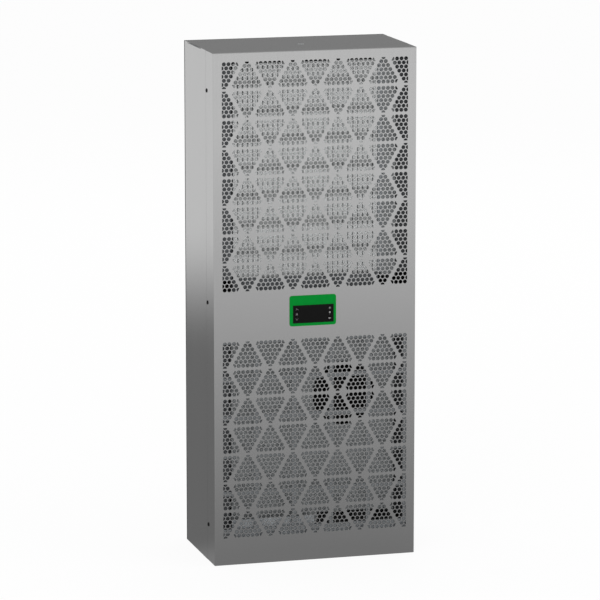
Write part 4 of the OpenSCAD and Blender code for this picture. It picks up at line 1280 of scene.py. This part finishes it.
@dataclass
class Fasteners:
    """Screws of one kind, repeated at their places.

    Attributes:
        head_t: Height of the domed head; dome gives its rings as shares of the head's radius and height.
        socket_d: Width of the hexagon socket over its corners; socket_t is its depth.
        rim_share: Radius of the flat rim round the socket, as a share of the socket's width.
        point: Chamfer of the shank's end.
        sides: Points of each ring.
    """

    head_d: float = 7.4
    head_t: float = 1.5
    shank_d: float = 4.0
    length: float = 9.0
    socket_d: float = 3.0
    socket_t: float = 1.0
    rim_share: float = 0.62
    point: float = 0.6
    dome: tuple[Flat, ...] = ((0.62, 0.94), (0.86, 0.72), (0.97, 0.42), (1.0, 0.12))
    sides: int = 24

    def hexagon(self, across: float) -> list[Flat]:
        """Give a hexagon with as many points as the screw's rings.

        Args:
            across: The width over its corners.

        Returns:
            Its points.
        """
        outline = []
        for k in range(self.sides):
            turn = math.tau * k / self.sides
            off_corner = (turn + math.pi / 6) % (math.pi / 3) - math.pi / 6
            radius = across / 2 / math.cos(math.pi / 6 - abs(off_corner)) * math.cos(math.pi / 6)
            outline.append((radius * math.cos(turn), radius * math.sin(turn)))
        return outline

    def screw(self) -> bpy.types.Object:
        """Make one domed screw with its hexagon socket, head towards +Z.

        Returns:
            An object for the Geometry Nodes tree to repeat.
        """
        r, t, shank = self.head_d / 2, self.head_t, self.shank_d / 2
        profile = [
            (self.socket_d * self.rim_share, t), *[(r * out, t * up) for out, up in self.dome], (r, 0.0),
            (shank, 0.0), (shank, self.point - self.length), (shank - self.point, -self.length),
        ]
        socket = self.hexagon(self.socket_d)
        rings = [[(x, y, z) for x, y in socket] for z in (t - self.socket_t, t)]
        rings += [[(x, y, z) for x, y in circle(radius, self.sides)] for radius, z in profile]
        return lofted("screw_pattern", rings)

    def build(self, piece: str, node: str, places: Sequence[tuple[Point, Point]],
              finish: Finish) -> bpy.types.Object:
        """Repeat the screw at its places.

        Args:
            piece: The new piece's name.
            node: The CAD node that it stands for.
            places: For each screw its place in millimetres and its turn about X, Y and Z in degrees.
            finish: The screws' surface.

        Returns:
            All screws as one piece.
        """
        mesh = mesh_from(piece, [place for place, _ in places], [])
        turns = mesh.attributes.new("turn", "FLOAT_VECTOR", "POINT")
        turns.data.foreach_set("vector", [math.radians(a) for _, turn in places for a in turn])
        screw = self.screw()
        r = Recipe(piece + "_tree", {}, {"Screw": screw})
        turn = r.add("GeometryNodeInputNamedAttribute", {"Name": "turn"}, data_type="FLOAT_VECTOR")
        set_in = r.add("GeometryNodeInstanceOnPoints", {
            "Points": "Geometry", "Instance": r.shapes["Screw"], "Rotation": turn,
        })
        made = r.make(piece, set_in, finish, mesh, crease=35)
        bpy.data.objects.remove(screw)
        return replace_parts(made, node)


class Sign(Enum):
    """The sign that is printed on a key."""

    UP = "up"
    DOWN = "down"
    CRYSTAL = "crystal"
    SUN = "sun"
    BULB = "bulb"
    TICK = "tick"


@dataclass
class Display:
    """The controller in the middle band: green foil frame, dark window and six keys.

    Attributes:
        proud: How far the keys' signs stand before the punched face.
        cap_edge: For each ring of a cap's rounded edge, how far it lies inside its side and behind its front.
        flange_back: How far the front and the back of a key's flange lie behind the punched face.
    """

    proud: float = 1.7
    window_x: float = -4.1
    window_z: float = 447.7
    column_pitch: float = 60.4
    row_pitch: float = 9.0
    key_d: float = 7.0
    cap_edge: tuple[Flat, ...] = ((0.5, 0.0), (0.22, 0.06), (0.06, 0.22), (0.0, 0.5))
    flange_d: float = 8.4
    flange_back: Flat = (0.1, 0.8)
    print_t: float = 0.1
    sign_size: float = 4.8
    stroke: float = 0.42
    frame_corner: float = 4.4
    frame_edge: float = 0.5
    opening_corner: float = 1.7

    def outlines(self, sign: Sign) -> list[list[Flat]]:
        """Give the closed outlines of a sign about its middle; their proportions are shares of half its size.

        Args:
            sign: The sign.

        Returns:
            Its outlines, which don't cross.
        """
        half, w = self.sign_size / 2, self.stroke / 2
        if sign in (Sign.UP, Sign.DOWN):
            way, rise = 1 if sign is Sign.UP else -1, 0.62 * half
            top = [(-half, -rise + w), (0.0, rise + w), (half, -rise + w)]
            low = [(half, -rise - w), (0.0, rise - 2.2 * w), (-half, -rise - w)]
            return [[(x, way * y) for x, y in top + low]]
        if sign is Sign.CRYSTAL:
            arms = []
            for k in range(6):
                turn, notch = math.radians(60 * k + 90), math.radians(60 * k + 120)
                along = Vector((math.cos(turn), math.sin(turn)))
                across = Vector((-math.sin(turn), math.cos(turn)))
                arms += [tuple(along * half - across * w), tuple(along * half + across * w)]
                arms.append((2 * w * math.cos(notch), 2 * w * math.sin(notch)))
            return [arms]
        if sign is Sign.SUN:
            rays = []
            for k in range(8):
                turn = math.tau * k / 8
                along = Vector((math.cos(turn), math.sin(turn)))
                across = Vector((-math.sin(turn), math.cos(turn))) * w * 0.7
                inner, outer = along * 0.66 * half, along * half
                ends = (inner - across, outer - across, outer + across, inner + across)
                rays.append([tuple(end) for end in ends])
            return [circle(0.46 * half, sides=20), *rays]
        if sign is Sign.BULB:
            high, r = 0.55 * half, 0.66 * half
            turns = [math.radians(a) for a in range(-60, 241, 15)]
            glass = [(r * math.cos(a), high + r * math.sin(a)) for a in turns]
            socket = [(-w, -1.1 * half), (w, -1.1 * half), (w, -0.3 * half), (-w, -0.3 * half)]
            return [glass, socket]
        tick = ((-1.0, 0.45), (-1.0, -0.35), (0.1, -0.8), (1.0, 0.5), (0.2, 0.1))
        return [[(x * half, y * half) for x, y in tick]]

    def make_key(self, node: str, sign: Sign, x: float, z: float, face: float) -> None:
        """Make a key's cap with its flange behind the window, and the sign printed on its face.

        Args:
            node: The key's CAD node.
            sign: Its sign.
            x: X of its middle.
            z: Height of its middle.
            face: Y of the punched face.
        """
        body, r, flange, front = node + "_cap", self.key_d / 2, self.flange_d / 2, face - self.proud
        low = front + self.print_t
        near, far = (face + back for back in self.flange_back)
        profile = [
            (0.0, low), *[(r - inset, low + back) for inset, back in self.cap_edge],
            (r, near), (flange, near), (flange, far), (0.0, far),
        ]
        rings = [[(x + px, y, z + pz) for px, pz in circle(radius, sides=48)] for radius, y in profile]
        cap = settle(lofted(node + "_silicone", rings, closed=False), KEY_CAP, crease=35, body=body)
        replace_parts(cap, node)
        stacks = [
            [[(x + px, y, z + pz) for px, pz in outline] for y in (front, low)]
            for outline in self.outlines(sign)
        ]
        settle(lofted(node + "_sign", *stacks), KEY_PRINT, crease=30, body=body)

    def make_frame(self) -> None:
        """Make the green frame with its round corners and its soft outer edge round the window's opening."""
        low, high = (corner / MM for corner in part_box("display_bezel"))
        middle, half = (low + high) / 2, (high - low) / 2
        hole_low, hole_high = (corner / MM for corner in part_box("display_window"))
        hole_middle, hole_half = (hole_low + hole_high) / 2, (hole_high - hole_low) / 2
        e, arc = self.frame_edge, quarter(steps=4)
        steps = [(0.0, high.y), *[(e * (1 - math.cos(a)), low.y + e * (1 - math.sin(a))) for a in arc]]
        rings = []
        for inset, y in steps:
            outline = round_rectangle(half.x - inset, half.z - inset, self.frame_corner - inset)
            rings.append([(middle.x + x, y, middle.z + z) for x, z in outline])
        hole = round_rectangle(hole_half.x, hole_half.z, self.opening_corner)
        rings += [[(hole_middle.x + x, y, hole_middle.z + z) for x, z in hole] for y in (low.y, high.y)]
        rings.append(rings[0])
        frame = settle(lofted("display_foil_frame", rings, closed=False), BEZEL, crease=35)
        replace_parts(frame, "display_bezel")

    def build(self, face: float) -> None:
        """Make the frame, the window and the six keys.

        Args:
            face: Y of the punched face.
        """
        self.make_frame()
        softened("display_window", "display_acrylic_window", 0.2, WINDOW, self.opening_corner)
        keys = {
            "key_up": (-1, 1, Sign.UP), "key_defrost": (-1, 0, Sign.CRYSTAL), "key_down": (-1, -1, Sign.DOWN),
            "key_light": (1, 1, Sign.SUN), "key_power": (1, 0, Sign.BULB), "key_set": (1, -1, Sign.TICK),
        }
        for node, (side, row, sign) in keys.items():
            x = self.window_x + side * self.column_pitch / 2
            self.make_key(node, sign, x, self.window_z + row * self.row_pitch, face)


@dataclass
class Coil:
    """A finned coil: wavy fins along its tubes, each fourth one with a broad front lip that spaces them.

    Attributes:
        node: The CAD node whose depth and height the fins have.
        middle_x: Middle of the pack.
        groups: Groups of fins, each with one lipped fin.
        pitch: Distance from lip to lip.
        set_back: How far the plain fins start behind the lips.
        wave: Half the height of the fins' waves; waves is their count from front to back.
    """

    node: str
    middle_x: float
    groups: int
    finish: Finish
    pitch: float = 9.14
    fins_in_group: int = 4
    fin_t: float = 0.16
    lip_w: float = 7.6
    set_back: float = 0.8
    wave: float = 0.45
    waves: int = 4

    def fin(self, name: str, lip: bool) -> bpy.types.Object:
        """Make one wavy fin at X = 0, in the depth and height of the CAD fins.

        Args:
            name: The pattern's name.
            lip: Whether the fin has the front lip; the plain ones start behind the lips.

        Returns:
            An object for the Geometry Nodes tree to repeat.
        """
        low, high = (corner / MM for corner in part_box(self.node))
        start = low.y if lip else low.y + self.set_back
        columns, half, depth = 4 * self.waves, self.fin_t / 2, high.y - start
        waved = [
            (self.wave * math.sin(math.tau * self.waves * k / columns), start + depth * k / columns)
            for k in range(columns + 1)
        ]
        outline = [(x - half, y) for x, y in waved] + [(x + half, y) for x, y in reversed(waved)]
        if lip:
            outline[-1] = (half, start + self.fin_t)
            outline += [(self.lip_w, start + self.fin_t), (self.lip_w, start)]
        return lofted(name, [[(x, y, z) for x, y in outline] for z in (low.z, high.z)], merge=0.0001)

    def build(self, piece: str) -> bpy.types.Object:
        """Repeat the lipped fins and the plain ones between them along the coil.

        Args:
            piece: The new piece's name.

        Returns:
            The pack of fins.
        """
        fins = {"Lipped Fin": self.fin("lipped_fin", True), "Plain Fin": self.fin("plain_fin", False)}
        r = Recipe(piece + "_tree", {
            "Groups": self.groups, "Fins in Group": self.fins_in_group, "Group Pitch": self.pitch * MM,
            "Middle": self.middle_x * MM,
        }, fins)
        sums = r.work_out({
            "spaces": ("MULTIPLY", "Groups", "Fins in Group"), "count": ("ADD", "spaces", 1.0),
            "step": ("DIVIDE", "Group Pitch", "Fins in Group"), "along": ("MULTIPLY", "index", "step"),
            "length": ("MULTIPLY", "Groups", "Group Pitch"), "half": ("MULTIPLY", "length", 0.5),
            "first": ("SUBTRACT", "Middle", "half"), "x": ("ADD", "first", "along"),
            "before last": ("LESS_THAN", "index", "spaces"), "past": ("ADD", "index", 0.5),
            "in group": ("MODULO", "past", "Fins in Group"), "leads": ("LESS_THAN", "in group", 1.0),
            "lipped": ("MULTIPLY", "before last", "leads"), "plain": ("SUBTRACT", 1.0, "lipped"),
        }, {"index": r.add("GeometryNodeInputIndex")})
        # The first fin of each group has the lip, save the very last one, whose lip would have no neighbour
        line = r.add("GeometryNodeMeshLine", {"Count": sums["count"]})
        spot = r.add("ShaderNodeCombineXYZ", {0: sums["x"]})
        placed = r.add("GeometryNodeSetPosition", {"Geometry": line, "Position": spot})
        sets = [
            r.add("GeometryNodeInstanceOnPoints", {
                "Points": placed, "Selection": sums[choice], "Instance": r.shapes[name],
            })
            for name, choice in (("Lipped Fin", "lipped"), ("Plain Fin", "plain"))
        ]
        made = r.make(piece, r.add("GeometryNodeJoinGeometry", {0: sets}), self.finish, crease=30)
        for pattern in fins.values():
            bpy.data.objects.remove(pattern)
        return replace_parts(made, self.node)


@dataclass
class Shield:
    """A folded strip behind the punched face, which closes the space beside the coil or the fan.

    Attributes:
        across: Its left and right edge.
        behind: How far its front lies behind the punched face.
        heights: Its lower and upper end.
        flange: How far the flanges at its edges reach backwards.
    """

    across: Flat
    behind: float
    heights: Flat
    flange: float = 9.0
    # Its default zinc is darkened as painted shade
    finish: Finish = SHADED_SHIELD_ZINC
    sheet: float = 0.8
    bend_r: float = 1.4

    def build(self, piece: str, face: float) -> bpy.types.Object:
        """Fold the strip: a flat front with a rounded bend and a flange backwards at each edge.

        Args:
            piece: The new piece's name.
            face: Y of the punched face.

        Returns:
            The strip.
        """
        front = face + self.behind
        middle, half = (self.across[0] + self.across[1]) / 2, (self.across[1] - self.across[0]) / 2
        outline = []
        for inset, back in ((0.0, False), (self.sheet, True)):
            r, bend_x, bend_y = self.bend_r - inset, half - self.bend_r, front + self.bend_r
            edge = [(half - inset, front + self.flange)]
            edge += [(bend_x + r * math.cos(a), bend_y - r * math.sin(a)) for a in quarter(steps=5)]
            line = [*edge, *[(-x, y) for x, y in reversed(edge)]]
            outline += line[::-1] if back else line
        rings = [[(middle + x, y, z) for x, y in outline] for z in self.heights]
        return settle(lofted(piece, rings), self.finish, crease=30)


@dataclass
class BaseSheet:
    """The pale sheet in front of the base, which steps up on the left of the air slot.

    Attributes:
        reach: Half its width.
        step_left: Left side of the step; step_right is its right side, beside the slot.
        low: Height of its lower edge.
        foot_top: Height of its upper edge; step_top is that of the step.
        behind: How far it lies behind the punched face.
        corner_r: Radius of the inner corner beside the slot.
    """

    reach: float = 181.0
    step_left: float = -151.0
    step_right: float = 0.0
    low: float = 30.0
    foot_top: float = 62.0
    step_top: float = 80.5
    behind: float = 7.0
    sheet: float = 0.8
    corner_r: float = 5.0

    def build(self, piece: str, face: float) -> bpy.types.Object:
        """Cut the stepped sheet, with a round inner corner beside the slot.

        Args:
            piece: The new piece's name.
            face: Y of the punched face.

        Returns:
            The sheet.
        """
        r = self.corner_r
        inner = [
            (self.step_right + r * (1 - math.sin(a)), self.foot_top + r * (1 - math.cos(a)))
            for a in quarter(steps=6)
        ]
        outline = [
            (-self.reach, self.low), (self.reach, self.low), (self.reach, self.foot_top), *inner,
            (self.step_right, self.step_top), (self.step_left, self.step_top),
            (self.step_left, self.foot_top), (-self.reach, self.foot_top),
        ]
        front = face + self.behind
        rings = [[(x, y, z) for x, z in outline] for y in (front, front + self.sheet)]
        return settle(lofted(piece, rings), BASE_ZINC, crease=30)


class Stream(Enum):
    """The two air streams through the unit."""

    CONDENSER = "condenser"
    EVAPORATOR = "evaporator"


@dataclass
class FanUnit:
    """An axial fan: cast square frame with its struts, and a moulded rotor of twisted blades.

    Attributes:
        stream: The air stream that it drives.
        place: Middle of the fan's outer side in millimetres.
        turn_x: Turn in degrees about X that lays the rotor's axis along Y, with its hub's face outwards.
        recess: How far the hub's face lies inside the frame.
        groove: Inner and outer radius of the shallow groove in the hub's face.
        root: How far a blade's foot reaches into the hub.
        chord: Width of a blade at its root and at its tip; pitch in degrees and thick are such pairs too.
        tip_from: Share of the blade from which it narrows; tip_loss is the share of width lost at the tip.
        blade_set: How far the blades stand forward of the rotor's middle.
    """

    stream: Stream
    place: Point
    turn_x: float
    hub_r: float = 26.0
    hub_wall: float = 2.0
    hub_round: float = 4.0
    recess: float = 5.5
    rotor_depth: float = 26.5
    tip_r: float = 55.5
    blades: int = 7
    shaft_r: float = 2.0
    shaft_len: float = 31.5
    groove: Flat = (9.0, 18.0)
    groove_t: float = 0.35
    groove_slope: float = 0.4
    root: float = 0.6
    chord: Flat = (25.0, 33.0)
    pitch: Flat = (44.0, 29.0)
    thick: Flat = (2.2, 1.2)
    edge: float = 0.25
    camber: float = 0.08
    sweep: float = 7.0
    tip_from: float = 0.8
    tip_loss: float = 0.16
    blade_set: float = 1.5
    stations: int = 9
    half_points: int = 7

    def hub(self) -> bpy.types.Object:
        """Turn the hub's shell, with its round shoulder and the groove in its face, about Z.

        Returns:
            An object for the Geometry Nodes tree to repeat.
        """
        inner, bend = self.hub_r - self.hub_wall, self.hub_round - self.hub_wall
        near, far = self.groove
        r, arc = self.hub_round, quarter(steps=5)
        outer = [(self.hub_r - r * (1 - math.sin(a)), r * (1 - math.cos(a))) for a in arc]
        back = [(inner - bend * (1 - math.cos(a)), r - bend * math.sin(a)) for a in arc]
        profile = [
            (0.0, 0.0), (near, 0.0), (near + self.groove_slope, self.groove_t),
            (far - self.groove_slope, self.groove_t), (far, 0.0), *outer,
            (self.hub_r, self.rotor_depth), (inner, self.rotor_depth), *back,
            (self.shaft_r, self.hub_wall), (self.shaft_r, self.shaft_len), (0.0, self.shaft_len),
        ]
        rings = [[(x, y, z) for x, y in circle(radius, sides=72)] for radius, z in profile]
        return lofted("hub_pattern", rings, closed=False)

    def blade_ring(self, share: float) -> list[Point]:
        """Give one section of a blade, wrapped round the shaft.

        Args:
            share: Where it lies: 0 at the hub, 1 at the tip.

        Returns:
            Its points, along the upper side and back along the lower.
        """
        chord, pitch, thick = (a + share * (b - a) for a, b in (self.chord, self.pitch, self.thick))
        chord *= 1 - self.tip_loss * (max(0.0, share - self.tip_from) / (1 - self.tip_from)) ** 2
        pitch = math.radians(pitch)
        radius = self.hub_r - self.root + share * (self.tip_r - self.hub_r + self.root)
        ring, half = [], self.half_points
        for k in range(2 * half):
            upper = k <= half
            u = k / half if upper else 2 - k / half
            half_thick = thick * (1 - (2 * u - 1) ** 4) / 2 + self.edge
            along = (u - 0.5) * chord
            lift = self.camber * chord * (1 - (2 * u - 1) ** 2) + (half_thick if upper else -half_thick)
            across = along * math.cos(pitch) - lift * math.sin(pitch) + self.sweep * share
            axial = along * math.sin(pitch) + lift * math.cos(pitch) + self.rotor_depth / 2 - self.blade_set
            ring.append((radius * math.cos(across / radius), radius * math.sin(across / radius), axial))
        return ring

    def make_rotor(self) -> bpy.types.Object:
        """Set the blades round the hub by Geometry Nodes and put the rotor in its frame.

        Returns:
            The rotor.
        """
        rings = [self.blade_ring(step / (self.stations - 1)) for step in range(self.stations)]
        parts = {"Hub": self.hub(), "Blade": lofted("blade_pattern", rings)}
        piece = self.stream.value + "_fan_impeller"
        forward = -math.sin(math.radians(self.turn_x))
        x, y, z = self.place
        r = Recipe(piece + "_tree", {
            "Blades": self.blades, "Place": (x * MM, (y + forward * self.recess) * MM, z * MM),
            "Turn": (math.radians(self.turn_x), 0.0, 0.0),
        }, parts)
        sums = r.work_out({
            "turns": ("MULTIPLY", "index", math.tau), "turn": ("DIVIDE", "turns", "Blades"),
        }, {"index": r.add("GeometryNodeInputIndex")})
        line = r.add("GeometryNodeMeshLine", {"Count": "Blades", "Offset": (0, 0, 0)})
        ring = r.add("GeometryNodeInstanceOnPoints", {
            "Points": line, "Instance": r.shapes["Blade"],
            "Rotation": r.add("ShaderNodeCombineXYZ", {2: sums["turn"]}),
        })
        placed = r.add("GeometryNodeTransform", {
            "Geometry": r.add("GeometryNodeJoinGeometry", {0: [r.shapes["Hub"], ring]}),
            "Translation": "Place", "Rotation": "Turn",
        })
        made = r.make(piece, placed, FAN_ROTOR, crease=35)
        for pattern in parts.values():
            bpy.data.objects.remove(pattern)
        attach(made, self.stream.value + "_fan_rotor_body")
        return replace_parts(made, self.stream.value + "_fan_rotor")

    def build(self) -> None:
        """Make the fan's frame and rotor."""
        side = self.stream.value
        softened(side + "_fan_frame", side + "_fan_cast_frame", width=0.6, finish=FAN_BODY)
        self.make_rotor()


@dataclass
class RearSide:
    """The housing's sheet and the rubber frame behind it.

    Attributes:
        flatness: Height of the inner edge's rounding beside the housing, as a share of its width.
        lap_soft: Chamfer of the laps' edges.
        lap_down: How far the laps end below the top.
    """

    strip_w: float = 14.0
    rounding: float = 1.4
    flatness: float = 0.3
    half_w: float = 185.0
    height: float = 915.0
    lap_h: float = 1.7
    lap_proud: float = 0.25
    lap_soft: float = 0.2
    lap_down: float = 0.1
    lap_from: float = -17.0
    lap_to: float = 68.0

    def make_gasket(self) -> bpy.types.Object:
        """Run a soft-edged strip round the back, mitred at its corners.

        Returns:
            The rubber frame.
        """
        low, high = (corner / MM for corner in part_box("rear_gasket"))
        r, w, arc = self.rounding, self.strip_w, quarter(steps=4)
        profile = [(0.0, low.y)]
        profile += [(w - r + r * math.sin(a), low.y + self.flatness * r * (1 - math.cos(a))) for a in arc]
        profile += [(w - r + r * math.cos(a), high.y - r + r * math.sin(a)) for a in arc]
        profile += [(r - r * math.sin(a), high.y - r + r * math.cos(a)) for a in arc]
        rings = rectangle_loops(profile, (high.x - low.x) / 2, (high.z - low.z) / 2, (high.z + low.z) / 2)
        rings.append(rings[0])
        piece = settle(lofted("rear_rubber_frame", rings, closed=False), GASKET, crease=50)
        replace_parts(piece, "rear_gasket")
        return piece

    def make_laps(self) -> bpy.types.Object:
        """Lay the narrow lap of the top sheet on the upper edge of each side, dark with painted shadow.

        Returns:
            Both laps as one piece.
        """
        high = self.height - self.lap_down
        low, deep, out = high - self.lap_h, self.half_w - self.lap_soft, self.half_w + self.lap_proud
        profile = [(deep, low), (out, low + self.lap_soft), (out, high - self.lap_soft), (deep, high)]
        stacks = [
            [[(side * x, y, z) for x, z in profile] for y in (self.lap_from, self.lap_to)] for side in (-1, 1)
        ]
        return settle(lofted("upper_laps", *stacks), SHADOW_GAP_ZINC, crease=30)

    def build(self) -> None:
        """Make the housing's sheet, its laps and the rubber frame."""
        softened("rear_housing", "rear_housing_sheet", width=0.6, finish=STEEL)
        softened("back_plate", "galvanised_back_plate", width=0.3, finish=SHEET_ZINC)
        self.make_laps()
        self.make_gasket()


# The CAD nodes that are shown as they are, by finish
CARRIED_OVER = {
    INSERT_ZINC: ("lifting_insert",),
    SHEET_ZINC: (
        "partition_plate", "base_tray", "fan_panel", "fan_box_left", "fan_box_right", "condenser_plate_left",
        "condenser_plate_right", "coil_side_cover", "evaporator_plate_left", "evaporator_plate_right",
        "electrical_box",
    ),
    GRID_ZINC: ("filter_grid",),
    BRIGHT_ZINC: (
        "rear_inserts", "condenser_fan_screws", "compressor_bolts", "evaporator_fan_screws", "power_pins",
    ),
    CASE_PLASTIC: ("controller_case", "compressor_terminal_cover", "drain_spout"),
    WINDING: ("condenser_fan_stator", "evaporator_fan_stator"),
    TINNED: ("condenser_tubes",),
    ENAMEL: ("compressor_body", "compressor_base", "suction_accumulator"),
    RUBBER: ("compressor_grommets",),
    COPPER: (
        "discharge_pipe", "liquid_pipe", "filter_drier", "capillary_pipe", "suction_pipe", "evaporator_tubes",
    ),
    CAN: ("condensate_tray", "run_capacitor"),
    BOARD: ("relay_board",),
    SOCKET: ("power_socket",),
}


def dress(nodes: dict[str, bpy.types.Object]) -> None:
    """Give the carried-over CAD nodes their materials.

    Args:
        nodes: The CAD nodes by name.
    """
    for finish, names in CARRIED_OVER.items():
        for name in names:
            obj = nodes[name]
            if not obj.data.materials:
                obj.data.materials.append(None)
            for slot in obj.material_slots:
                slot.link = "OBJECT"
                slot.material = finish.make()
            LOG.info("%s keeps its CAD shape in %s", name, finish.name)


def main() -> None:
    """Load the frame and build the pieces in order."""
    logging.basicConfig(level=logging.INFO, format="%(name)s: %(message)s")
    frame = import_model()
    Studio().build()
    cover = PunchedCover()
    cover.build()
    face = cover.face
    Display().build(face)
    RearSide().build()
    Fasteners().build("cover_hexagon_screws", "cover_screws", cover.screw_places(), BLACK_SCREW)
    Coil("condenser_fins", middle_x=-9.0, groups=29, finish=FIN_WITH_PAINTED_SHADOW).build("condenser_fin_pack")
    Coil("evaporator_fins", middle_x=0.0, groups=30, finish=FIN).build("evaporator_fin_pack")
    reach, coil_z, fan_z = BaseSheet.reach, (508.0, 896.0), (58.0, 420.0)
    strips = {
        "coil_shield_left": Shield(across=(-reach, -145.4), behind=27.5, heights=coil_z),
        "coil_shield_right": Shield(across=(159.5, reach), behind=40.0, heights=coil_z),
        "coil_shield_low": Shield(across=(-143.4, 125.4), behind=31.0, heights=(484.0, 510.4)),
        "coil_end_strip": Shield((122.4, 131.0), 27.2, (511.0, 892.0), flange=2.4, finish=BASE_ZINC),
        "side_baffle_left": Shield((-reach, -148.2), 33.0, fan_z, flange=2.4),
        "side_baffle_right": Shield((154.2, reach), 60.0, fan_z, flange=2.4),
    }
    for piece, strip in strips.items():
        strip.build(piece, face)
    BaseSheet().build("base_front_sheet", face)
    FanUnit(Stream.CONDENSER, place=(59.7, face + 28.2, 296.0), turn_x=-90).build()
    FanUnit(Stream.EVAPORATOR, place=(0.0, face + 200.5, 770.0), turn_x=90).build()
    dress(frame["nodes"])


if __name__ == "__main__":
    main()
